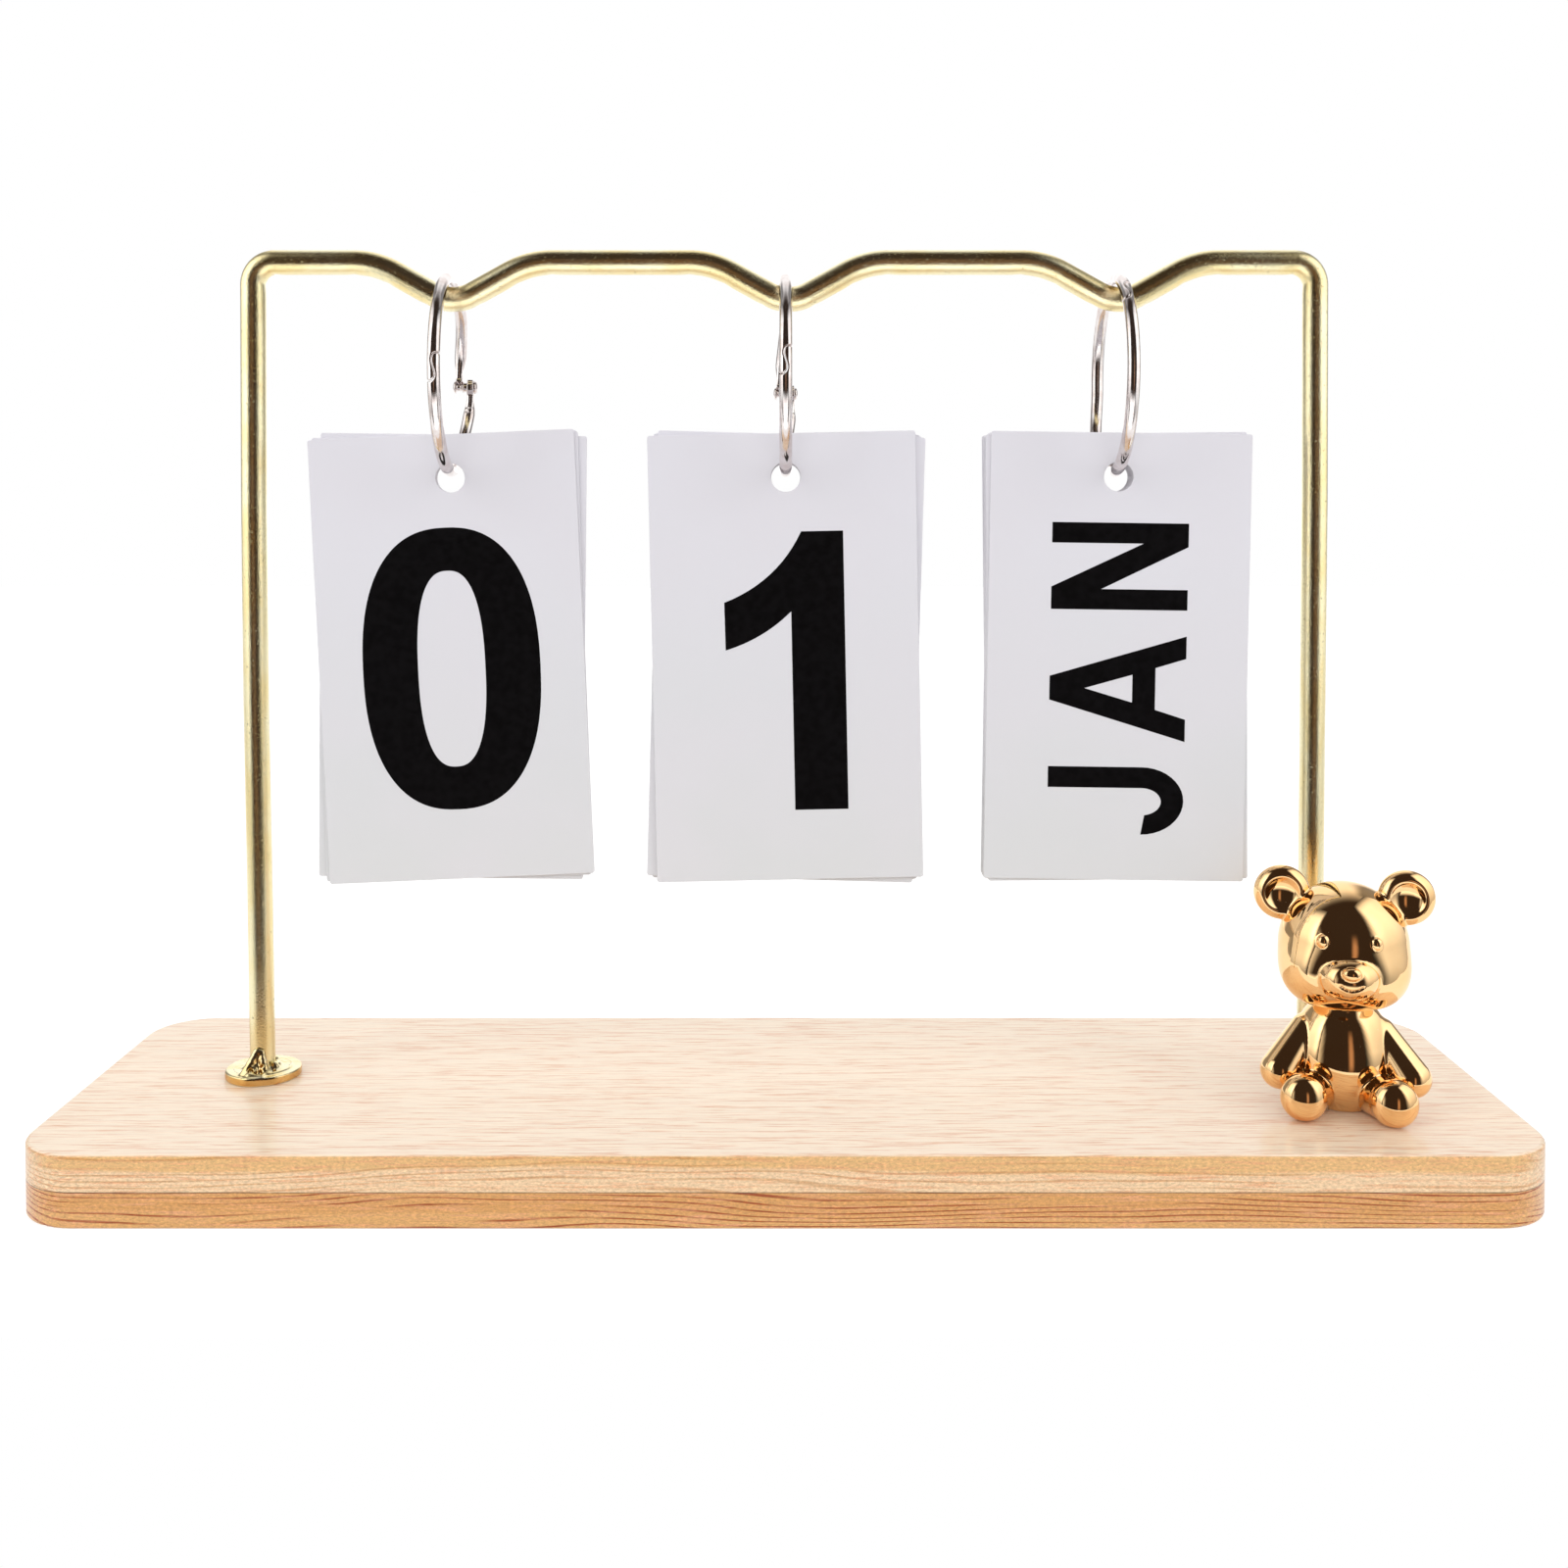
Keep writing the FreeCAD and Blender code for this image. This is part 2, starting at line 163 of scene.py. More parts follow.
def settle(points, distance, rounds=4, nudge=0.01, longest=0.2):
    """Moves points onto the surface along the distance's slope."""
    for _ in range(rounds):
        here = distance(points)
        slope = np.empty_like(points)
        for axis in range(3):
            off = np.zeros(3)
            off[axis] = nudge
            slope[:, axis] = (distance(points + off) - distance(points - off)) / (2 * nudge)
        move = here[:, None] * slope / np.maximum((slope * slope).sum(-1), 0.05)[:, None]
        far = length(move)[:, None]
        points = points - move * np.minimum(1, longest / np.maximum(far, 1e-9))
    return points


def planes(low, high, step):
    """Evenly spaced grid planes from low to high, about step apart."""
    return np.linspace(low, high, max(2, ceil((high - low) / step) + 1))


def box_planes(low, high, step):
    return [planes(a, b, step) for a, b in zip(low, high)]


def implicit(name, distance, axes, warp=lambda grid: grid):
    """A closed mesh of quads on the surface where distance is 0. axes holds the grid's planes along each
    coordinate, with a margin round the shape, and warp takes grid coordinates to places."""
    layers = []
    for x in axes[0]:
        y, z = np.meshgrid(axes[1], axes[2], indexing="ij")
        layer = np.stack([np.full(y.size, x), y.ravel(), z.ravel()], -1)
        layers.append(distance(warp(layer)).reshape(y.shape))
    value = np.stack(layers)
    cells = tuple(len(axis) - 1 for axis in axes)
    total, share_sum = np.zeros(cells), np.zeros(cells + (3,))
    crossings = []
    for axis in range(3):
        before, after = [slice(None)] * 3, [slice(None)] * 3
        before[axis], after[axis] = slice(None, -1), slice(1, None)
        a, b = value[tuple(before)], value[tuple(after)]
        cross = (a < 0) != (b < 0)
        share = np.where(cross, a / np.where(cross, a - b, 1), 0)
        others = [i for i in range(3) if i != axis]
        for first in (0, 1):
            for second in (0, 1):
                part = [slice(None)] * 3
                for other, shift in zip(others, (first, second)):
                    part[other] = slice(shift, shift + cells[other])
                hit, t = cross[tuple(part)], share[tuple(part)]
                total += hit
                share_sum[..., axis] += hit * t
                share_sum[..., others[0]] += hit * first
                share_sum[..., others[1]] += hit * second
        crossings.append((others, cross))
    active = total > 0
    index = np.full(cells, -1)
    index[active] = np.arange(active.sum())
    corner = np.argwhere(active)
    share = share_sum[active] / total[active][:, None]
    grid = [axis[at] + part * np.diff(axis)[at] for axis, at, part in zip(axes, corner.T, share.T)]
    grid = np.stack(grid, -1)
    faces = []
    for others, cross in crossings:
        inner = [slice(None)] * 3
        for other in others:
            inner[other] = slice(1, cross.shape[other] - 1)
        at = np.argwhere(cross[tuple(inner)])
        at[:, others] += 1
        quad = []
        for first, second in ((1, 1), (0, 1), (0, 0), (1, 0)):
            cell_at = at.copy()
            cell_at[:, others[0]] -= first
            cell_at[:, others[1]] -= second
            quad.append(index[tuple(cell_at.T)])
        faces.append(np.stack(quad, -1))
    points = settle(warp(grid), distance)
    piece = mesh_object(name, points * MM, np.concatenate(faces).tolist())
    return face_outwards(piece)


# ---- Shader nodes ----

def srgb(code):
    """A colour as it is written on screen, such as "E2DFE6", in the renderer's own units."""
    shares = [int(code[i:i + 2], 16) / 255 for i in (0, 2, 4)]
    return tuple(c / 12.92 if c <= 0.04045 else ((c + 0.055) / 1.055) ** 2.4 for c in shares) + (1.0,)


class Tree:
    """A node tree with shorthand for adding nodes."""

    def __init__(self, owner):
        owner.use_nodes = True
        self.tree = owner.node_tree
        self.tree.nodes.clear()

    def add(self, kind, inputs=None, **settings):
        node = self.tree.nodes.new("ShaderNode" + kind)
        for key, value in settings.items():
            setattr(node, key, value)
        for key, value in (inputs or {}).items():
            socket = node.inputs[key]
            if isinstance(value, bpy.types.NodeSocket):
                self.tree.links.new(value, socket)
            else:
                socket.default_value = value
        return node

    def math(self, operation, *values):
        return self.add("Math", dict(enumerate(values)), operation=operation).outputs[0]

    def times(self, first, second):
        return self.math("MULTIPLY", first, second)

    def ramp(self, value, low, high, low_to=0.0, high_to=1.0):
        inputs = {0: value, 1: low, 2: high, 3: low_to, 4: high_to}
        return self.add("MapRange", inputs, interpolation_type="SMOOTHSTEP").outputs[0]

    def pattern(self, where, cycles, detail, roughness):
        """Noise with so many cycles per metre along each axis."""
        vector = self.add("VectorMath", {0: where, 1: cycles}, operation="MULTIPLY").outputs[0]
        inputs = {"Vector": vector, "Scale": 1.0, "Detail": float(detail), "Roughness": roughness}
        return self.add("TexNoise", inputs).outputs[0]

    def mix(self, share, first, second, kind="MIX"):
        inputs = {0: share, 6: first, 7: second}
        return self.add("Mix", inputs, data_type="RGBA", blend_type=kind).outputs[2]

    def bump(self, height, distance, strength=1.0):
        inputs = {"Height": height, "Distance": distance, "Strength": strength}
        return self.add("Bump", inputs).outputs[0]

    def parts(self, vector):
        return self.add("SeparateXYZ", {0: vector}).outputs

    def finish(self, **surface):
        names = {key: key.replace("_", " ").title().replace("Ior", "IOR") for key in surface}
        shader = self.add("BsdfPrincipled", {names[key]: value for key, value in surface.items()})
        self.add("OutputMaterial", {"Surface": shader.outputs[0]})


def new_material(name):
    material = bpy.data.materials.new(name)
    return material, Tree(material)


def object_place(tree):
    return tree.add("TexCoord").outputs["Object"]


def facing(tree, axis):
    """How squarely a surface faces along one of the object's own axes, from 0 to 1."""
    return tree.math("ABSOLUTE", tree.parts(tree.add("TexCoord").outputs["Normal"])[axis])


def grey(tree, value):
    return tree.add("CombineColor", {0: value, 1: value, 2: value}).outputs[0]


LINE_WAVES = 9.0  # how far the growth lines wander, in their own spacings
SEAM_WAVE = 4 * MM
SEAM_BLUR = 0.6 * MM
SIDE_GRAIN, TOP_GRAIN = 1.42, 0.12
SPARK_GAIN = 0.22
GLUE_DARK, GLUE_CLEAR = 0.04 * MM, 0.2 * MM
BAMBOO_PINK, BAMBOO_SPECK = "E0A276", "A8784C"


def bamboo(name, top, side, side_below, end, line, line_depth, line_spacing, seam):
    """Laminated bamboo: long fibres along X on the top, and granular sides with growth lines. A side is two
    strips, side above the seam's height and side_below under it."""
    material, tree = new_material(name)
    where = object_place(tree)
    height = tree.parts(where)[2]
    upright = tree.ramp(facing(tree, 2), 0.5, 0.9, 1.0, 0.0)
    endwise = tree.ramp(facing(tree, 0), 0.25, 0.7)
    fibres = tree.pattern(where, (60, 2600, 2600), 5, 0.62)
    streaks = tree.pattern(where, (90, 1750, 1750), 4, 0.62)
    fine_streaks = tree.pattern(where, (170, 2600, 3000), 3, 0.6)
    broad = tree.pattern(where, (12, 60, 190), 3, 0.5)
    grains = tree.pattern(where, (1200, 2800, 2800), 3, 0.75)
    sparks = tree.ramp(tree.pattern(where, (600, 2900, 2900), 2, 0.6), 0.58, 0.70)
    specks = tree.ramp(tree.pattern(where, (500, 900, 900), 1, 0.5), 0.76, 0.82)

    waver = tree.times(tree.pattern(where, (11, 40, 70), 2, 0.5), LINE_WAVES)
    contour = tree.math("PINGPONG", tree.math("MULTIPLY_ADD", height, 1 / line_spacing, waver), 0.5)
    patches = tree.ramp(tree.pattern(where, (17, 90, 330), 3, 0.6), 0.38, 0.54)
    broken = tree.times(patches, tree.ramp(fine_streaks, 0.30, 0.55, 0.4, 1.0))
    lines = tree.times(tree.ramp(contour, 0.05, 0.19, 1.0, 0.0), broken)
    lines = tree.times(lines, tree.times(upright, line_depth))

    strip = tree.math("MULTIPLY_ADD", tree.math("SUBTRACT", broad, 0.5), SEAM_WAVE, height)
    strip = tree.ramp(strip, seam - SEAM_BLUR, seam + SEAM_BLUR)
    colour = tree.mix(strip, srgb(side_below), srgb(side))
    colour = tree.mix(tree.times(endwise, 0.7), colour, srgb(end))
    colour = tree.mix(upright, srgb(top), colour)
    colour = tree.mix(lines, colour, srgb(line))
    pink = tree.times(tree.ramp(streaks, 0.46, 0.66), tree.ramp(fine_streaks, 0.35, 0.6, 0.3, 1.0))
    colour = tree.mix(tree.times(pink, 0.85), colour, srgb(BAMBOO_PINK))
    colour = tree.mix(tree.times(specks, 0.35), colour, srgb(BAMBOO_SPECK))

    grain_depth = tree.math("MULTIPLY_ADD", upright, SIDE_GRAIN - TOP_GRAIN, TOP_GRAIN)
    shade = tree.math("MULTIPLY_ADD", tree.math("SUBTRACT", grains, 0.5), grain_depth, 1.0)
    shade = tree.math("MULTIPLY_ADD", tree.times(sparks, upright), SPARK_GAIN, shade)
    shade = tree.times(shade, tree.ramp(fibres, 0.3, 0.72, 0.94, 1.03))
    from_glue = tree.math("ABSOLUTE", tree.math("SUBTRACT", height, glue_line_z))
    glue = tree.ramp(from_glue, GLUE_DARK, GLUE_CLEAR, 1.0, 0.0)
    glue = tree.times(glue, tree.ramp(fine_streaks, 0.3, 0.6, 0.25, 0.62))
    shade = tree.times(shade, tree.math("SUBTRACT", 1.0, glue))
    colour = tree.mix(1.0, colour, grey(tree, shade), "MULTIPLY")
    relief = tree.math("ADD", fibres, grains)
    tree.finish(base_color=colour, roughness=tree.ramp(fibres, 0.2, 0.8, 0.36, 0.48), specular_ior_level=0.3,
                normal=tree.bump(relief, 0.03 * MM), coat_weight=0.5, coat_roughness=0.17)
    return material


# The amber colour is a painted reflection of the bamboo base, laid on the flanges' upright rims.
PIT_BROWN, RIM_PAINTED_REFLECTION = "6E5226", "D9A452"


def gold_plating(name, where_from, colour, warm, rough, grain, painted_rim_reflection=0.0):
    """Drawn streaks, a fine sparkling grain and a drifting tint, with a painted amber reflection of the wood base
    on upright rims.
    """
    material, tree = new_material(name)
    where = where_from(tree)
    tint = tree.pattern(where, (90, 300, 300), 3, 0.5)
    streaks = tree.pattern(where, (220, 4200, 4200), 3, 0.6)
    sparkle = tree.pattern(where, (2600, 3600, 3600), 3, 0.7)
    pits = tree.ramp(tree.pattern(where, (1500, 2100, 2100), 2, 0.6), 0.66, 0.74)
    body = tree.mix(tree.ramp(tint, 0.35, 0.7), srgb(colour), srgb(warm))
    body = tree.mix(tree.times(pits, 0.55), body, srgb(PIT_BROWN))
    # Painted reflection: upright rims are tinted amber where they would reflect the wood base.
    if painted_rim_reflection:
        body = tree.mix(tree.ramp(facing(tree, 2), 0.2, 0.75, painted_rim_reflection, 0.0), body, srgb(RIM_PAINTED_REFLECTION))
    relief = tree.math("MULTIPLY_ADD", streaks, 0.5, sparkle)
    relief = tree.math("MULTIPLY_ADD", pits, -0.6, relief)
    tree.finish(base_color=body, metallic=1.0, roughness=tree.ramp(sparkle, 0.3, 0.7, rough, rough + 0.12),
                normal=tree.bump(relief, grain))
    return material


def along_wire(tree):
    """A place on the unbent wire: the way along it, then across it."""
    return tree.add("Attribute", attribute_name="wire_place").outputs["Vector"]


def nickel_plating():
    material, tree = new_material("nickel_plating")
    where = object_place(tree)
    haze = tree.pattern(where, (420, 420, 420), 4, 0.6)
    fine = tree.pattern(where, (2600, 2600, 2600), 3, 0.6)
    colour = tree.mix(tree.ramp(haze, 0.35, 0.7), srgb("E6E0DE"), srgb("D6C9C5"))
    tree.finish(base_color=colour, metallic=1.0, roughness=tree.ramp(fine, 0.3, 0.8, 0.06, 0.14),
                normal=tree.bump(fine, 0.006 * MM))
    return material


def bear_plating():
    material, tree = new_material("rose_gold_plating")
    where = object_place(tree)
    drift = tree.pattern(where, (120, 120, 120), 3, 0.5)
    specks = tree.ramp(tree.pattern(where, (2000, 2000, 2000), 2, 0.5), 0.74, 0.80)
    colour = tree.mix(tree.ramp(drift, 0.35, 0.7), srgb("FFD69E"), srgb("FCCD92"))
    colour = tree.mix(tree.times(specks, 0.5), colour, srgb("FFF0DC"))
    tree.finish(base_color=colour, metallic=1.0, roughness=tree.ramp(specks, 0.0, 1.0, 0.04, 0.35),
                normal=tree.bump(drift, 0.06 * MM, 0.5))
    return material


def mottled(name, cycles, first, second, rough, relief=0.0, **surface):
    """An even surface that drifts between two near colours, in patches of so many per metre."""
    material, tree = new_material(name)
    cells = tree.pattern(object_place(tree), (cycles,) * 3, 4, 0.6)
    colour = tree.mix(tree.ramp(cells, 0.3, 0.7), srgb(first), srgb(second))
    if relief:
        surface["normal"] = tree.bump(cells, relief)
    tree.finish(base_color=colour, roughness=tree.ramp(cells, 0.3, 0.7, *rough), **surface)
    return material


CARD_FADE = (0.055, 0.145)  # the heights between which the cards' tint drifts


def card_board(name, lower, upper, cloudy):
    """Smooth coated board with a faint cool tint and a very fine tooth."""
    material, tree = new_material(name)
    where = object_place(tree)
    tooth = tree.pattern(where, (5200, 5200, 5200), 3, 0.6)
    cloud = tree.pattern(where, (28, 28, 28), 2, 0.5)
    colour = tree.mix(tree.ramp(tree.parts(where)[2], *CARD_FADE), srgb(lower), srgb(upper))
    colour = tree.mix(tree.ramp(cloud, 0.35, 0.65, 0.0, 0.5), colour, srgb(cloudy))
    tree.finish(base_color=colour, roughness=tree.ramp(tooth, 0.3, 0.7, 0.42, 0.52),
                normal=tree.bump(tooth, 0.004 * MM), specular_ior_level=0.3)
    return material


materials = {
    "bamboo_light": bamboo(
        "bamboo_light", top="FAE5CB", side="E1B57A", side_below="EACAA2", end="E3C59E", line="BC7C38",
        line_depth=0.6, line_spacing=1.7 * MM, seam=glue_line_z + 3.9 * MM),
    "bamboo_dark": bamboo(
        "bamboo_dark", top="EBCBA6", side="D19A5A", side_below="D7A566", end="DDAE7C", line="9A4614",
        line_depth=1.3, line_spacing=1.15 * MM, seam=glue_line_z - 4.0 * MM),
    "wire": gold_plating(
        "gold_wire_plating", along_wire, "F1E7BE", "EFDCA4", rough=0.08, grain=0.05 * MM),
    "flange": gold_plating(
        "gold_flange_plating", object_place, "F3E8C4", "EFDBA2", rough=0.10, grain=0.02 * MM, painted_rim_reflection=0.8),
    "nickel": nickel_plating(),
    "bear": bear_plating(),
    "zinc": mottled("zinc_plating", 1400, "C9CBCC", "A9ADB0", (0.28, 0.42), 0.01 * MM, metallic=1.0),
    "card_face": card_board("card_face", "DADBDD", "E2E0E7", "E0DDE3"),
    "card_edge": card_board("card_edge", "F8F7F8", "FAF9FB", "F7F5F7"),
    "ink": mottled("printing_ink", 700, "060506", "0C0A0C", (0.42, 0.55), specular_ior_level=0.08),
}


# ---- Base and fasteners: the frame's own nodes ----

def dress_node(name, look):
    piece = nodes_of[name]
    piece.data.materials.clear()
    piece.data.materials.append(materials[look])


dress_node("base_top_board", "bamboo_light")
dress_node("base_bottom_board", "bamboo_dark")
for side in ("left", "right"):
    dress_node(side + "_washer", "zinc")
    dress_node(side + "_nut", "zinc")


# ---- Frame wire ----

DIP_SLOPE = radians(29.0)
DIP_DEPTH = 8.6 * MM
DIP_BOTTOM_BEND = 8.5 * MM
DIP_SHOULDER_BEND = 17.0 * MM
CORNER_BEND = 4.5 * MM
WIRE_SIDES = 40
BEND_STEP = radians(2.5)
STRAIGHT_STEP = 0.8 * MM
MARK_DEPTH = 0.13 * MM
MARK_LENGTH = 0.9 * MM
DIP_FROM_RING = {"tens": 0.6 * MM, "units": 0.6 * MM, "month": 0.5 * MM}
MARK_SHARPNESS = 6
POST_HEIGHTS = [0.0, 0.05, 0.09, 0.13, 0.17, 0.19]  # where each post's bow is given, sideways to the right
LEFT_POST_BOW = [0.45 * MM, 0.1 * MM, -0.3 * MM, -0.35 * MM, -0.1 * MM, 0.0]
RIGHT_POST_BOW = [0.0, 0.0, 0.0, 0.0, -0.3 * MM, -0.5 * MM]
BOW_FROM = 0.6  # the share of the way out to a post where the rail starts to follow its bow


def bent_path(corners):
    """Points along straight runs joined by arcs, and the index of each point where an arc starts or ends."""
    points, joins = [], []

    def run(start, end):
        count = max(2, ceil((end - start).length / STRAIGHT_STEP))
        points.extend(start.lerp(end, i / count) for i in range(count))
        joins.append(len(points))

    start = corners[0][0]
    for (before, _), (corner, radius), (after, _) in zip(corners, corners[1:], corners[2:]):
        into, out = (corner - before).normalized(), (after - corner).normalized()
        turn = into.angle(out)
        setback = radius * tan(turn / 2)
        arc_start = corner - into * setback
        centre = corner + (out - into).normalized() * (radius / cos(turn / 2))
        axis = into.cross(out).normalized()
        run(start, arc_start)
        count = max(3, ceil(turn / BEND_STEP))
        for i in range(count):
            points.append(centre + Matrix.Rotation(turn * i / count, 3, axis) @ (arc_start - centre))
        joins.append(len(points))
        start = corner + out * setback
    run(start, corners[-1][0])
    points.append(corners[-1][0].copy())
    return points, joins[:-1]


def make_frame_wire():
    """The bent wire, with the bending tool's shallow marks on the inside of the frame beside each bend."""
    dip_half = DIP_DEPTH / tan(DIP_SLOPE)
    corners = [(Vector((-post_x, post_y, wire_low.z)), 0), (Vector((-post_x, post_y, rail_z)), CORNER_BEND)]
    for stack in STACKS:
        x = joint_place[stack + "_ring_swing"].x + DIP_FROM_RING[stack]
        corners.append((Vector((x - dip_half, post_y, rail_z)), DIP_SHOULDER_BEND))
        corners.append((Vector((x, post_y, rail_z - DIP_DEPTH)), DIP_BOTTOM_BEND))
        corners.append((Vector((x + dip_half, post_y, rail_z)), DIP_SHOULDER_BEND))
    corners.append((Vector((post_x, post_y, rail_z)), CORNER_BEND))
    corners.append((Vector((post_x, post_y, wire_low.z)), 0))
    centres, joins = bent_path(corners)
    for centre in centres:
        bow = np.interp(centre.z, POST_HEIGHTS, LEFT_POST_BOW if centre.x < 0 else RIGHT_POST_BOW)
        centre.x += bow * step_between(BOW_FROM, 1.0, abs(centre.x) / post_x)
    along = [0.0]
    for before, after in zip(centres, centres[1:]):
        along.append(along[-1] + (after - before).length)
    marks = [along[i] for i in joins]
    across = Vector((0, 1, 0))
    points, places = [], []
    for i, centre in enumerate(centres):
        before, after = centres[max(i - 1, 0)], centres[min(i + 1, len(centres) - 1)]
        inwards = across.cross(after - before).normalized()
        mark = sum(exp(-(((along[i] - at) / MARK_LENGTH) ** 2)) for at in marks)
        for k in range(WIRE_SIDES):
            angle = 2 * pi * k / WIRE_SIDES
            radius = wire_radius - MARK_DEPTH * mark * max(0, cos(angle)) ** MARK_SHARPNESS
            points.append(centre + (inwards * cos(angle) + across * sin(angle)) * radius)
            places.append((along[i], wire_radius * cos(angle), wire_radius * sin(angle)))
    wire = mesh_object("bent_wire_frame", points, tube_faces(len(centres), WIRE_SIDES))
    attribute = wire.data.attributes.new("wire_place", "FLOAT_VECTOR", "POINT")
    attribute.data.foreach_set("vector", [c for p in places for c in p])
    dress(wire, ["wire"], "root", "gold_wire", "frame_wire")


make_frame_wire()


# ---- Flanges and their welds ----

FLANGE_THICKNESS = 1.75
FLANGE_TRIM = 0.1
FLANGE_ROUND = 0.5
BEAD_OUT, BEAD_RADIUS, BEAD_WAVE = 0.1, 0.8, 1.6
RIDGE_AT, RIDGE_RADIUS, RIDGE_MIDDLE = 5.6, 0.38, -0.5  # a low arc of weld on the disc, about one direction
RIPPLE = 0.045
FLANGE_CELL = 0.17
FLANGE_SIDES = (("left", -1, 0.7, 0.0), ("right", 1, 2.9, radians(25)))  # sign, phase of its waves, turn
WELD_RODS = [  # the weld's main lumps: both ends, about the post's foot, and the radius at each
    ((-2.0, -4.8, 1.7), (-0.4, -2.6, 5.6), 1.15, 0.8),
    ((1.8, -4.6, 1.6), (0.5, -2.6, 5.3), 1.0, 0.75),
    ((-0.5, -4.9, 1.7), (-0.2, -3.2, 3.3), 1.1, 0.6),
    ((-0.9, -6.0, 1.6), (1.5, -6.1, 1.55), 0.8, 0.65),
    ((-3.0, -0.9, 1.5), (-2.6, -0.9, 2.4), 0.8, 0.55),
    ((3.2, -1.6, 1.5), (2.7, -1.4, 2.6), 0.85, 0.55),
    ((2.4, 2.2, 1.5), (1.9, 1.8, 2.7), 0.9, 0.6),
    ((-2.0, 2.5, 1.5), (-1.7, 2.0, 2.5), 0.9, 0.6),
]
WELD_PITS = [
    ((0.75, -5.5, 2.3), 0.6),
    ((1.25, -4.1, 3.0), 0.55),
    ((-0.95, -5.3, 2.6), 0.45),
    ((2.9, -3.3, 1.9), 0.5),
]


def flange_distance(p, seed, turn):
    """A plated disc with lumpy weld metal run against the post."""
    radius = (flange_high.x - flange_low.x) / 2 / MM - FLANGE_TRIM
    c, s = cos(turn), sin(turn)
    q = np.stack([c * p[:, 0] + s * p[:, 1], c * p[:, 1] - s * p[:, 0], p[:, 2]], -1)
    around, out = np.arctan2(q[:, 1], q[:, 0]), np.hypot(q[:, 0], q[:, 1])
    wave = 0.10 * np.sin(3 * around + seed) + 0.06 * np.sin(7 * around + 2.1 * seed)
    slab = np.abs(q[:, 2] - FLANGE_THICKNESS / 2) - FLANGE_THICKNESS / 2 - 0.06 * wave
    disc = -blend(radius + 0.3 * wave - out, -slab, FLANGE_ROUND)
    post = wire_radius / MM
    above = q[:, 2] - FLANGE_THICKNESS
    bead = np.hypot(out - post - BEAD_OUT, above) - (BEAD_RADIUS + BEAD_WAVE * wave)
    away = step_between(0.5, 1.1, np.abs(around - RIDGE_MIDDLE))
    ridge = np.hypot(out - RIDGE_AT, above) - RIDGE_RADIUS + 0.5 * away
    shape = blend(blend(disc, bead, 0.7), ridge, 0.4)
    for low, high, low_radius, high_radius in WELD_RODS:
        shape = blend(shape, rod(q, low, high, low_radius, high_radius), 0.7)
    for centre, pit_radius in WELD_PITS:
        shape = carve(shape, length(q - np.array(centre)) - pit_radius, 0.3)
    x, y, z = q.T
    ripple = RIPPLE * np.sin(3.9 * x + seed) * np.sin(3.3 * y + 1.3 * seed) * np.sin(4.1 * z)
    return shape + ripple * (1 - step_between(post + 2.5, post + 4.0, out))


def make_flanges():
    for side, sign, seed, turn in FLANGE_SIDES:
        edge = (flange_high.x - flange_low.x) / 2 / MM + 0.5
        axes = box_planes((-edge, -edge, -0.4), (edge, edge, 6.8), FLANGE_CELL)
        piece = implicit(side + "_welded_flange", lambda p: flange_distance(p, seed, turn), axes)
        lean = LEFT_POST_BOW[0] if sign < 0 else RIGHT_POST_BOW[0]
        place(piece, Matrix.Translation((sign * post_x + lean, post_y, base_top)))
        dress(piece, ["flange"], "root", "gold_wire", side + "_flange")


make_flanges()


# ---- Binder rings, in their own plane X = 0. Angles start at the latch, at the front, and rise ----

RING_RADIUS = 19.25
RING_WIRE = 1.25
HINGE_ANGLE = 183.0
LATCH_HALF = 2.6
LATCH_WAVE = 0.36
LATCH_GAP = 0.15
TAB_THICKNESS = 1.3
TAB_WIDTH = 2.95
TAB_MIDDLE = 1.2
RIVET_RADIUS = 0.8
RIVET_CLEARANCE = 0.05
RIVET_HEAD_GAP = 0.03
EYE_RADIUS = 2.05
ASIDE = (3.0, 50.0)  # degrees from the hinge at which the wire is wholly aside, then back in the middle
FLAT = (5.0, 19.0)  # degrees from the hinge at which the wire is wholly flat, then wholly round
TAB_SQUARE = 0.7
RING_TWIST = {"tens": radians(2.1), "units": 0.0, "month": radians(-0.6)}
RING_SHIFT = {"tens": 0.0, "units": 0.0, "month": -0.4 * MM}
FINE_STEP = 0.13
ARC_PER_DEGREE = radians(1) * RING_RADIUS


def from_ring_grid(grid):
    """Takes (x, distance outwards from the ring's circle, angle) to a place."""
    radius, angle = RING_RADIUS + grid[:, 1], np.radians(grid[:, 2])
    return np.stack([grid[:, 0], -radius * np.cos(angle), radius * np.sin(angle)], -1)


def latch_side(x, s):
    """Negative in the lower half's hooked tongue and wire, positive in the upper half's."""
    side = -LATCH_WAVE * np.sin(pi * s / LATCH_HALF) - x
    tongue = carve(side, LATCH_HALF - s, 0.9)
    return blend(tongue, s + LATCH_HALF, 0.9)


def hinge_point():
    return np.array([-RING_RADIUS * cos(radians(HINGE_ANGLE)), RING_RADIUS * sin(radians(HINGE_ANGLE))])


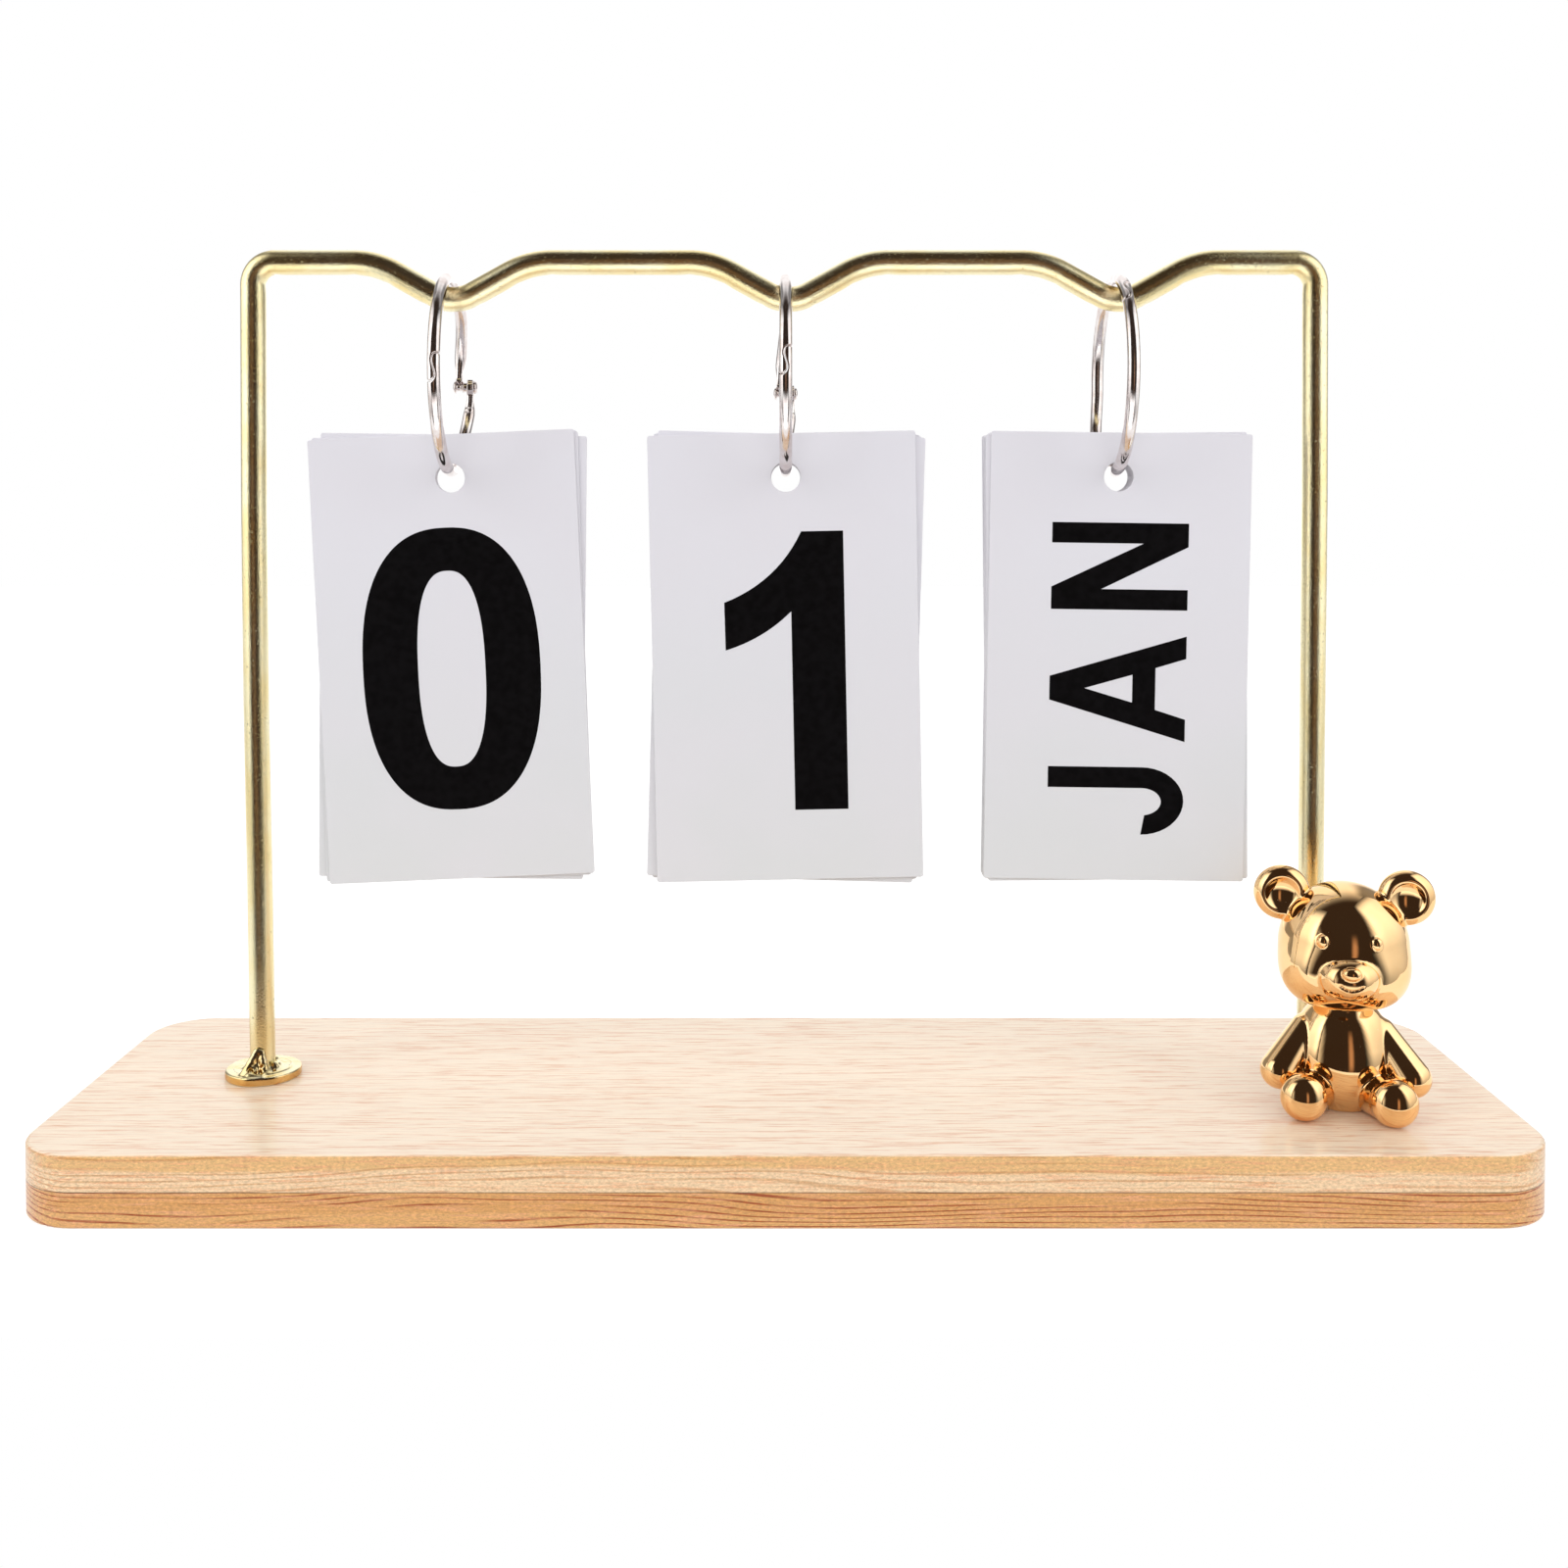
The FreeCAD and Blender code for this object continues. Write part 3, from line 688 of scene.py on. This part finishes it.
def ring_half(p, sign):
    """Round wire that flattens and steps aside into a hinge tab. sign is 1 for the upper half and -1 for the
    lower."""
    out = np.hypot(p[:, 1], p[:, 2]) - RING_RADIUS
    angle = np.degrees(np.arctan2(p[:, 2], -p[:, 1]))
    from_hinge = (sign * (HINGE_ANGLE - angle) + 90) % 360 - 90
    shift = 1 - step_between(*ASIDE, from_hinge)
    flat = 1 - step_between(*FLAT, from_hinge)
    half_x = RING_WIRE + (TAB_THICKNESS / 2 - RING_WIRE) * flat
    half_r = RING_WIRE + (TAB_WIDTH / 2 - RING_WIRE) * flat
    aside = p[:, 0] + sign * TAB_MIDDLE * shift
    across = np.hypot(aside / half_x, out / half_r)
    squared = np.maximum(np.abs(aside) / half_x, np.abs(out) / half_r)
    tube = (across + (squared - across) * TAB_SQUARE * flat - 1) * np.minimum(half_x, half_r)
    tube = carve(tube, from_hinge * ARC_PER_DEGREE, 0.2)
    hinge = hinge_point()
    from_rivet = np.hypot(p[:, 1] - hinge[0], p[:, 2] - hinge[1])
    disc = carve(from_rivet - EYE_RADIUS, TAB_THICKNESS / 2 - np.abs(p[:, 0] + sign * TAB_MIDDLE), 0.3)
    tube = carve(blend(tube, disc, 0.4), from_rivet - RIVET_RADIUS - RIVET_CLEARANCE, 0.1)
    s = ((angle + 180) % 360 - 180) * ARC_PER_DEGREE
    cut = np.where(np.abs(s) < 5, sign * latch_side(p[:, 0], s), sign * s)
    return carve(tube, cut - LATCH_GAP / 2, 0.3)


def ring_axes(sign):
    """Grid planes that are close together at the latch and the hinge, and far apart between them."""
    fine = FINE_STEP / ARC_PER_DEGREE
    latch, bend = planes(-11, 17, fine), planes(17.5, HINGE_ANGLE - 19, 2.0)
    hinge = planes(HINGE_ANGLE - 18.5, HINGE_ANGLE + 9, fine * 1.3)
    angles = np.concatenate([latch, bend, hinge])
    if sign < 0:
        angles = HINGE_ANGLE + (HINGE_ANGLE - np.concatenate([latch + 6, bend + 6, hinge]))[::-1]
    return [planes(-2.2, 2.2, FINE_STEP), planes(-2.4, 2.4, FINE_STEP), angles]


def lathe(name, profile, sides=40):
    """A closed turned piece about the X axis. The profile is (x, radius) from end to end."""
    points = []
    for x, radius in profile:
        for k in range(sides):
            angle = 2 * pi * k / sides
            points.append((x * MM, radius * cos(angle) * MM, radius * sin(angle) * MM))
    return face_outwards(mesh_object(name, points, tube_faces(len(profile), sides)))


def make_rings():
    upper = implicit("upper", lambda p: ring_half(p, 1), ring_axes(1), from_ring_grid)
    lower = implicit("lower", lambda p: ring_half(p, -1), ring_axes(-1), from_ring_grid)
    head = TAB_MIDDLE + TAB_THICKNESS / 2 + RIVET_HEAD_GAP
    dome = [(0.0, 0.25), (0.06, 0.7), (0.2, 1.08), (0.4, 1.3), (0.58, 1.36), (0.7, 1.24)]
    tip = head + dome[-1][0]
    left_head = [(-tip + x, r) for x, r in dome]
    right_head = [(tip - x, r) for x, r in reversed(dome)]
    collar = [(-head, RIVET_RADIUS), (-0.56, RIVET_RADIUS), (-0.55, 1.1), (-0.2, 1.02), (0.2, 1.02),
              (0.55, 1.1), (0.56, RIVET_RADIUS), (head, RIVET_RADIUS)]
    rivet = lathe("rivet", left_head + collar + right_head)
    hinge = hinge_point() * MM
    place(rivet, Matrix.Translation((0, hinge[0], hinge[1])))
    pieces = [(upper, "upper", "upper"), (lower, "lower", "lower"), (rivet, "rivet", "upper")]
    for stack in STACKS:
        centre = joint_place[stack + "_pack_slide"]
        at_hinge = joint_place[stack + "_ring_open"] - centre
        turn = atan2(at_hinge.z, -at_hinge.y) - radians(HINGE_ANGLE)
        matrix = Matrix.Translation(centre + Vector((RING_SHIFT[stack], 0, 0)))
        matrix = matrix @ Matrix.Rotation(RING_TWIST[stack], 4, "Z") @ Matrix.Rotation(-turn, 4, "X")
        for made, part_name, body in pieces:
            piece = bpy.data.objects.new(f"{stack}_ring_{part_name}_finished", made.data.copy())
            SCENE.collection.objects.link(piece)
            place(piece, matrix)
            dress(piece, ["nickel"], f"{stack}_ring_{body}", "nickel", f"{stack}_ring_{part_name}")
    for made in (upper, lower, rivet):
        bpy.data.objects.remove(made)


make_rings()


# ---- Seated bear, facing -Y with the middle of its seat at the origin, in millimetres ----

BEAR_TURN = 12.0
BEAR_SIDE_SHIFT = 1.2
BEAR_FLANGE_GAP = 0.4
BEAR_CELL = 0.3

# Each round form is its middle and its radii, and each limb its two ends and the radius at each. A form off
# the middle stands for a pair.
TORSO = ((0, 0, 9.2), (9.8, 8.1, 10.8))
CHEST = ((0, 0.2, 15.5), (7.2, 6.2, 6.0))
ARM = ((6.9, -0.9, 14.6), (12.0, -4.7, 7.4), 2.9, 3.7)
LEG = ((4.9, -3.0, 3.9), (7.7, -9.4, 4.0), 4.1, 3.9)
FOOT = ((8.1, -10.8, 4.4), (4.35, 3.4, 4.5))
TAIL_AT, TAIL_RADIUS = (0, 7.0, 4.2), 2.5
NECK_Z, NECK_RADIUS = 20.0, 5.1
SEAT_TRIM = 0.02
NECK_TRIM = 0.08
HEAD_Z = 31.0
SKULL = ((0, 0, HEAD_Z), (12.2, 10.9, 12.3))
CHEEK = ((4.2, -2.2, HEAD_Z - 4.2), (7.8, 7.6, 7.2))
EAR_REACH, EAR_ANGLE = 15.0, radians(50)
EAR_X, EAR_Z = EAR_REACH * sin(EAR_ANGLE), HEAD_Z + EAR_REACH * cos(EAR_ANGLE)
EAR = ((EAR_X, 0.2, EAR_Z), (5.3, 2.8, 5.3))
EAR_DISH = ((EAR_X, -3.1, EAR_Z), (3.9, 2.6, 3.9))
MUZZLE = ((0, -9.4, HEAD_Z - 3.9), (5.5, 4.4, 4.2))
NOSE = ((0, -13.35, HEAD_Z - 2.2), (1.75, 1.1, 1.25))
EYE = ((4.75, -9.55, HEAD_Z + 2.8), (1.15, 0.95, 1.25))
SMILE_RADIUS, SMILE_DROP, SMILE_TOP = 2.7, 2.6, 4.4  # an arc below the nose, cut off above SMILE_TOP
SMILE_HALF_WIDTH, SMILE_DEPTH = 0.16, 0.3


def both_sides(p):
    """Folds the right half onto the left, so that one limb stands for a pair."""
    folded = p.copy()
    folded[:, 0] = np.abs(folded[:, 0])
    return folded


def bear_body_distance(p):
    q = both_sides(p)
    shape = blend(ellipsoid(p, *TORSO), ellipsoid(p, *CHEST), 2.5)
    shape = blend(shape, rod(q, *ARM), 0.5)
    shape = blend(shape, rod(q, *LEG), 0.5)
    shape = blend(shape, ellipsoid(q, *FOOT), 0.35)
    shape = blend(shape, length(p - np.array(TAIL_AT)) - TAIL_RADIUS, 0.4)
    collar = carve(np.hypot(p[:, 0], p[:, 1]) - NECK_RADIUS, -(p[:, 2] - NECK_Z), 0.5)
    shape = blend(shape, collar, 0.8)
    shape = carve(shape, -(p[:, 2] - NECK_Z + SEAT_TRIM), 0.4)
    return carve(shape, p[:, 2] - SEAT_TRIM, 0.5)


def bear_head_distance(p):
    q = both_sides(p)
    shape = blend(ellipsoid(p, *SKULL), ellipsoid(q, *CHEEK), 2.0)
    shape = blend(shape, carve(ellipsoid(q, *EAR), ellipsoid(q, *EAR_DISH), 0.5), 0.45)
    muzzle = ellipsoid(p, *MUZZLE)
    shape = blend(shape, muzzle, 0.5)
    shape = blend(shape, ellipsoid(p, *NOSE), 0.2)
    smile = np.hypot(p[:, 0], p[:, 2] - HEAD_Z + SMILE_DROP) - SMILE_RADIUS
    groove = np.maximum(np.abs(smile) - SMILE_HALF_WIDTH, p[:, 2] - HEAD_Z + SMILE_TOP)
    on_muzzle = np.abs(muzzle + 0.05) - SMILE_DEPTH
    shape = carve(shape, np.maximum(groove, on_muzzle), 0.15)
    shape = blend(shape, ellipsoid(q, *EYE), 0.2)
    return carve(shape, p[:, 2] - NECK_Z - NECK_TRIM, 0.4)


def make_bear():
    seat_y = flange_low.y - (BEAR_FLANGE_GAP + TORSO[1][1]) * MM
    matrix = Matrix.Translation((post_x + BEAR_SIDE_SHIFT * MM, seat_y, base_top))
    matrix = matrix @ Matrix.Rotation(radians(-BEAR_TURN), 4, "Z")
    body_room = box_planes((-17, -16, -1), (17, 11, 21), BEAR_CELL)
    head_room = box_planes((-18, -16, 19), (18, 12.5, 47.5), BEAR_CELL)
    body = implicit("bear_body_plated", bear_body_distance, body_room)
    head = implicit("bear_head_plated", bear_head_distance, head_room)
    for piece, node in ((body, "bear_body"), (head, "bear_head")):
        place(piece, matrix)
        dress(piece, ["bear"], "root", "gold_plate", node)


make_bear()


# ---- Cards and printing. In a card's own plane x runs right and z up from its middle, in millimetres ----

CARD_BEVEL = 0.09
CARD_CORNER = 0.5
INK_HEIGHT = 0.02
INK_SUNK = 0.01
LARGEST_TILT, TILT_STEP = 4.0, 0.01  # degrees, in the search for a card's turn
EDGE_MARGIN = 2  # points of a card further in than this are its hole's
HOLE_SIDES = 48
LETTER_GAP = 5.2
CAP_HEIGHT = 27.3
LONGEST_WORD = 64.0
DIGIT_HEIGHT = 56.0
ZERO_OUTER, ZERO_INNER = (35.8, 57.0, 2.4), (13.6, 39.6, 2.5)  # width, height and squareness
PRINT_MIDDLE = {"tens": (0.0, -2.3), "units": (0.2, -2.8), "month": (0.1, -4.4)}
TYPE_SIZE, TYPE_DEPTH, TYPE_SPACING = 0.04, 0.001, 1.12  # as drawn, before a word is fitted to its height


def card_layout(name):
    """The matrix from a card's own plane, on its front face, to the frame, then its size and its hole."""
    points = np.array([v.co for v in nodes_of[name].data.vertices], float) / MM
    flat = points[:, [0, 2]]
    best = None
    for tilt in np.radians(np.arange(-LARGEST_TILT, LARGEST_TILT, TILT_STEP)):
        turned = flat @ np.array([[cos(tilt), -sin(tilt)], [sin(tilt), cos(tilt)]])
        low, high = turned.min(0), turned.max(0)
        if best is None or (high - low).prod() < best[0]:
            best = ((high - low).prod(), tilt, low, high, turned)
    _, tilt, low, high, turned = best
    middle = (low + high) / 2
    size = (high[0] - low[0], points[:, 1].max() - points[:, 1].min(), high[1] - low[1])
    inside = turned[(np.abs(turned - middle) < (high - low) / 2 - EDGE_MARGIN).all(1)]
    hole = (inside.max(0) + inside.min(0)) / 2 - middle
    radius = (inside.max(0) - inside.min(0))[0] / 2
    at = cos(tilt) * middle[0] - sin(tilt) * middle[1], sin(tilt) * middle[0] + cos(tilt) * middle[1]
    place_at = Vector((at[0], points[:, 1].min(), at[1])) * MM
    return Matrix.Translation(place_at) @ Matrix.Rotation(-tilt, 4, "Y"), size, hole, radius


def arc(centre, radii, start, end, steps):
    """Points along part of an ellipse, from one angle to another in degrees."""
    angles = np.radians(np.linspace(start, end, steps + 1))
    return [(centre[0] + radii[0] * cos(a), centre[1] + radii[1] * sin(a)) for a in angles]


def oval(centre, width, height, power, steps=112):
    """A closed oval. A power of 2 is an ellipse, and a higher one is squarer."""
    loop = []
    for k in range(steps):
        c, s = cos(2 * pi * k / steps), sin(2 * pi * k / steps)
        loop.append((centre[0] + np.sign(c) * abs(c) ** (2 / power) * width / 2,
                     centre[1] + np.sign(s) * abs(s) ** (2 / power) * height / 2))
    return loop


def curved(start, control, end, steps=12):
    return [tuple((1 - t) ** 2 * a + 2 * t * (1 - t) * b + t * t * c for a, b, c in zip(start, control, end))
            for t in np.linspace(0, 1, steps + 1)]


def rounded_rectangle(width, height, radius):
    x, z = width / 2 - radius, height / 2 - radius
    corners = [((x, z), 0), ((-x, z), 90), ((-x, -z), 180), ((x, -z), 270)]
    return [p for centre, start in corners for p in arc(centre, (radius, radius), start, start + 90, 6)]


def curve_to_piece(name, curve):
    """Turns a filled curve in its own plane into a closed mesh that faces -Y, its middle plane at Y = 0."""
    drawn = bpy.data.objects.new(name, curve)
    SCENE.collection.objects.link(drawn)
    bpy.context.view_layer.update()
    mesh = bpy.data.meshes.new_from_object(drawn.evaluated_get(bpy.context.evaluated_depsgraph_get()))
    bpy.data.objects.remove(drawn)
    mesh.transform(Matrix.Rotation(radians(90), 4, "X"))
    piece = bpy.data.objects.new(name, mesh)
    SCENE.collection.objects.link(piece)
    piece.data.polygons.foreach_set("use_smooth", [False] * len(mesh.polygons))
    return face_outwards(piece)


def plate(name, loops, thickness, bevel=0.0):
    """A flat piece with the given outlines, holes among them."""
    curve = bpy.data.curves.new(name, "CURVE")
    curve.dimensions, curve.fill_mode = "2D", "BOTH"
    curve.extrude = (thickness / 2 - bevel) * MM
    curve.bevel_depth, curve.bevel_resolution, curve.offset = bevel * MM, 1, -bevel * MM
    for loop in loops:
        spline = curve.splines.new("POLY")
        spline.points.add(len(loop) - 1)
        spline.points.foreach_set("co", [c for x, z in loop for c in (x * MM, z * MM, 0, 1)])
        spline.use_cyclic_u = True
    return curve_to_piece(name, curve)


def letter_j():
    """A letter's width, then its outlines from its lower left corner. The other letters are alike."""
    outer = arc((6.8, 8.5), (6.8, 8.5), 180, 360, 20)
    inner = arc((6.65, 8.5), (2.75, 4.0), 360, 190, 20)
    return 13.6, [outer + [(13.6, CAP_HEIGHT), (9.4, CAP_HEIGHT)] + inner]


def letter_a():
    outline = [(0, 0), (4.5, 0), (6.4, 6.1), (14.8, 6.1), (16.7, 0), (21.2, 0), (13.0, CAP_HEIGHT),
               (8.2, CAP_HEIGHT)]
    return 21.2, [outline, [(7.8, 10.7), (10.6, 20.3), (13.4, 10.7)]]


def letter_n():
    outline = [(0, 0), (4.1, 0), (4.1, 17.3), (12.7, 0), (17.4, 0), (17.4, CAP_HEIGHT), (13.3, CAP_HEIGHT),
               (13.3, 9.0), (4.5, CAP_HEIGHT), (0, CAP_HEIGHT)]
    return 17.4, [outline]


def word_upwards(letters):
    """Letters set one after another up the card, their tops to the left, about the word's middle."""
    total = sum(width for width, _ in letters) + LETTER_GAP * (len(letters) - 1)
    loops, start = [], -total / 2
    for width, outlines in letters:
        loops += [[(CAP_HEIGHT / 2 - z, start + x) for x, z in loop] for loop in outlines]
        start += width + LETTER_GAP
    return loops


def digit_zero():
    return [oval((0, 0), *ZERO_OUTER), oval((0, 0), *ZERO_INNER)]


def digit_one():
    flag = curved((3.4, 28.0), (-1.5, 18.0), (-12.3, 14.0))
    under = curved((-12.2, 4.4), (-4.5, 6.6), (1.1, 12.0))
    half = DIGIT_HEIGHT / 2
    return [[(11.8, -half), (11.8, half)] + flag + under + [(1.1, -half)]]


def type_print(name, words, height, weight, width_share, upwards):
    """Plain sans letters, thickened by weight and fitted to a height, in millimetres."""
    curve = bpy.data.curves.new(name, "FONT")
    curve.body, curve.align_x, curve.space_character = words, "CENTER", TYPE_SPACING
    curve.size, curve.offset, curve.extrude = TYPE_SIZE, weight * TYPE_SIZE, TYPE_DEPTH
    piece = curve_to_piece(name, curve)
    points = np.array([v.co for v in piece.data.vertices])
    size, middle = points.max(0) - points.min(0), (points.max(0) + points.min(0)) / 2
    scale = height * MM / size[2]
    across = min(scale * width_share, LONGEST_WORD * MM / size[0])
    fit = Matrix.Diagonal((across, (INK_HEIGHT + INK_SUNK) * MM / size[1], scale, 1))
    turn = Matrix.Rotation(radians(-90 if upwards else 0), 4, "Y")
    return place(piece, turn @ fit @ Matrix.Translation(-Vector(middle)))


def make_print(stack, face, name):
    thickness = INK_HEIGHT + INK_SUNK
    if face == "0":
        return plate(name, digit_zero(), thickness)
    if face == "1":
        return plate(name, digit_one(), thickness)
    if face == "jan":
        return plate(name, word_upwards([letter_j(), letter_a(), letter_n()]), thickness)
    if stack == "month":
        return type_print(name, face.upper(), CAP_HEIGHT, weight=0.012, width_share=0.95, upwards=True)
    return type_print(name, face, DIGIT_HEIGHT, weight=0.035, width_share=0.98, upwards=False)


def make_cards():
    for stack, faces in STACKS.items():
        for face in faces:
            node = f"{stack}_card_{face}"
            to_frame, (width, depth, height), hole, radius = card_layout(node)
            punched = arc(hole, (radius, radius), 0, 360 - 360 / HOLE_SIDES, HOLE_SIDES - 1)
            loops = [rounded_rectangle(width, height, CARD_CORNER), punched]
            card = plate(node + "_cut", loops, depth, CARD_BEVEL)
            for polygon in card.data.polygons:
                polygon.material_index = 0 if abs(polygon.normal.y) > 0.99 else 1
            place(card, to_frame @ Matrix.Translation((0, depth / 2 * MM, 0)))
            dress(card, ["card_face", "card_edge"], body_of_node[node], "card_stock", node)
            ink = make_print(stack, face, f"{stack}_print_{face}")
            across, up = PRINT_MIDDLE[stack]
            drop = Vector((across, (INK_SUNK - INK_HEIGHT) / 2, up)) * MM
            place(ink, to_frame @ Matrix.Translation(drop))
            dress(ink, ["ink"], body_of_node[node], "card_stock")


make_cards()


# ---- Floor, studio and camera ----

FLOOR_SIDE, FLOOR_FRONT, FLOOR_BACK = 1.6, -0.078, 2.4
FLOOR_MATT, FLOOR_SHOWN, FLOOR_GLOW = 0.84, 0.40, 0.745  # what it sends on, and what is seen of it
WHITE = (1.0, 1.0, 1.0, 1.0)


def make_floor():
    """A pale floor that ends just in front of the base. It looks white, with the faintest contact shadow."""
    corners = [(-FLOOR_SIDE, FLOOR_FRONT, 0), (FLOOR_SIDE, FLOOR_FRONT, 0), (FLOOR_SIDE, FLOOR_BACK, 0),
               (-FLOOR_SIDE, FLOOR_BACK, 0)]
    floor = mesh_object("floor", corners, [(0, 1, 2, 3)], smooth=False)
    material, tree = new_material("floor_white")
    path = tree.add("LightPath").outputs
    seen = tree.math("MAXIMUM", path["Is Camera Ray"],
                     tree.math("MAXIMUM", path["Is Glossy Ray"], path["Is Transmission Ray"]))
    matt = tree.add("BsdfDiffuse", {"Color": (FLOOR_MATT,) * 3 + (1,)}).outputs[0]
    shown_matt = tree.add("BsdfDiffuse", {"Color": (FLOOR_SHOWN,) * 3 + (1,)}).outputs[0]
    glow = tree.add("Emission", {"Color": WHITE, "Strength": FLOOR_GLOW}).outputs[0]
    shown = tree.add("AddShader", {0: shown_matt, 1: glow}).outputs[0]
    mixed = tree.add("MixShader", {0: seen, 1: matt, 2: shown}).outputs[0]
    tree.add("OutputMaterial", {"Surface": mixed})
    floor.data.materials.append(material)


GLOOM = (0.038, 0.026, 0.020, 1.0)
GLINT = (0.55, 0.32, 0.20, 1.0)
GLINT_SIDE, GLINT_RISE = 0.035, -0.03
BEHIND_DIM = -0.76


def make_world():
    """White where the camera looks. Reflections show a dark studio in front and overhead, with a narrow
    upright glint ahead, a bright floor, and a bright wall behind that is dimmer to both sides. Matt surfaces
    get more light from above than from the sides."""
    world = bpy.data.worlds.new("studio")
    SCENE.world = world
    tree = Tree(world)
    direction = tree.parts(tree.add("TexCoord").outputs["Generated"])
    side = tree.math("ABSOLUTE", direction[0])
    rise = tree.math("ARCTAN2", direction[2], tree.times(direction[1], -1.0))
    dark = tree.times(tree.ramp(rise, radians(-36), radians(-22)),
                      tree.ramp(rise, radians(82), radians(126), 1.0, 0.0))
    dark = tree.times(dark, tree.ramp(side, 0.72, 0.95, 1.0, 0.0))
    aside = tree.math("ABSOLUTE", tree.math("ADD", direction[0], -GLINT_SIDE))
    above = tree.math("ABSOLUTE", tree.math("ADD", rise, -GLINT_RISE))
    glint = tree.times(tree.ramp(aside, 0.01, 0.12, 1.0, 0.0), tree.ramp(above, 0.1, 0.5, 1.0, 0.0))
    behind = tree.times(tree.ramp(direction[1], 0.12, 0.3), tree.ramp(direction[1], 0.75, 0.93, 1.0, 0.0))
    behind = tree.times(behind, tree.ramp(side, 0.3, 0.5))
    below = tree.ramp(rise, radians(-45), radians(-25), 1.7, 1.25)
    bright = tree.times(below, tree.math("MULTIPLY_ADD", behind, BEHIND_DIM, 1.0))
    reflected = tree.mix(dark, grey(tree, bright), tree.mix(glint, GLOOM, GLINT))
    matt = grey(tree, tree.ramp(direction[2], -0.2, 0.8, 0.56, 0.92))
    path = tree.add("LightPath").outputs
    colour = tree.mix(path["Is Glossy Ray"], matt, reflected)
    seen = tree.math("MAXIMUM", path["Is Camera Ray"], path["Is Transmission Ray"])
    colour = tree.mix(seen, colour, WHITE)
    background = tree.add("Background", {"Color": colour, "Strength": 1.0})
    tree.add("OutputWorld", {"Surface": background.outputs[0]})


PANEL_LOW, PANEL_HIGH = -0.25, 0.75


def make_panel(name, inner, outer, even, hot, fade):
    """A bright upright panel that only reflections show, hottest near its inner edge, which fades out."""
    low, high = PANEL_LOW, PANEL_HIGH
    corners = [(*inner, low), (*outer, low), (*outer, high), (*inner, high)]
    panel = mesh_object(name, corners, [(0, 1, 2, 3)], smooth=False)
    layer = panel.data.attributes.new("panel_place", "FLOAT_VECTOR", "POINT")
    layer.data.foreach_set("vector", [0, low, 0, 1, low, 0, 1, high, 0, 0, high, 0])
    material, tree = new_material(name)
    place_on = tree.add("Attribute", attribute_name="panel_place").outputs["Vector"]
    across, height, _ = tree.parts(place_on)
    core = tree.times(tree.ramp(across, 0.0, 0.32, 1.0, 0.0), tree.ramp(height, -0.05, 0.06))
    core = tree.times(core, tree.ramp(height, 0.22, 0.5, 1.0, 0.0))
    level = tree.math("MULTIPLY_ADD", core, hot - even, tree.ramp(across, 0.3, 1.0, even, even * 0.8))
    level = tree.times(level, tree.ramp(height, -0.08, 0.2, 0.28, 0.95))
    level = tree.times(level, tree.ramp(across, 0.0, fade, 0.03, 1.0))
    level = tree.times(level, tree.ramp(height, 0.4, high, 1.0, 0.1))
    glow = tree.add("Emission", {"Color": WHITE, "Strength": level}).outputs[0]
    tree.add("OutputMaterial", {"Surface": glow})
    panel.data.materials.append(material)
    for ray in ("camera", "diffuse", "transmission", "volume_scatter", "shadow"):
        setattr(panel, "visible_" + ray, False)


LAMP_TARGET = (0, 0, 0.09)
SOFTBOXES = {  # where each stands, its width, its height and its power
    "left_softbox": ((-0.95, -0.75, 0.62), 0.6, 0.9, 3.1),
    "right_softbox": ((0.95, -0.75, 0.62), 0.6, 0.9, 2.8),
    "front_softbox": ((0, -1.3, 0.5), 0.8, 0.6, 3.0),
}


def make_lamps():
    for name, (at, width, height, power) in SOFTBOXES.items():
        light = bpy.data.lights.new(name, "AREA")
        light.shape, light.size, light.size_y, light.energy = "RECTANGLE", width, height, power
        lamp = bpy.data.objects.new(name, light)
        lamp.location = at
        lamp.visible_glossy = False
        lamp.rotation_euler = (Vector(LAMP_TARGET) - Vector(at)).to_track_quat("-Z", "Y").to_euler()
        SCENE.collection.objects.link(lamp)


CAMERA_AT = (-0.24 * MM, -329.3 * MM, 128.3 * MM)
CAMERA_PITCH = 1.766  # degrees below level
FOCAL_PIXELS = 1676.2
IMAGE_PIXELS = 1600.0
AXIS_ROW = 572.6  # the photograph's row that the lens's own axis meets
SENSOR = 36.0
CLIP = (0.01, 20.0)


def make_camera():
    data = bpy.data.cameras.new("camera")
    data.sensor_width = SENSOR
    data.lens = FOCAL_PIXELS / IMAGE_PIXELS * SENSOR
    data.shift_y = (AXIS_ROW - IMAGE_PIXELS / 2) / IMAGE_PIXELS
    data.clip_start, data.clip_end = CLIP
    camera = bpy.data.objects.new("camera", data)
    camera.location = CAMERA_AT
    camera.rotation_euler = (radians(90 - CAMERA_PITCH), 0, 0)
    SCENE.collection.objects.link(camera)
    SCENE.camera = camera


make_floor()
make_world()
make_panel("left_panel", inner=(-0.275, -0.235), outer=(-0.52, 0.2), even=1.65, hot=2.9, fade=0.12)
make_panel("right_panel", inner=(0.235, -0.25), outer=(0.52, 0.2), even=1.65, hot=2.3, fade=0.18)
make_lamps()
make_camera()

SCENE.view_settings.view_transform = "Standard"
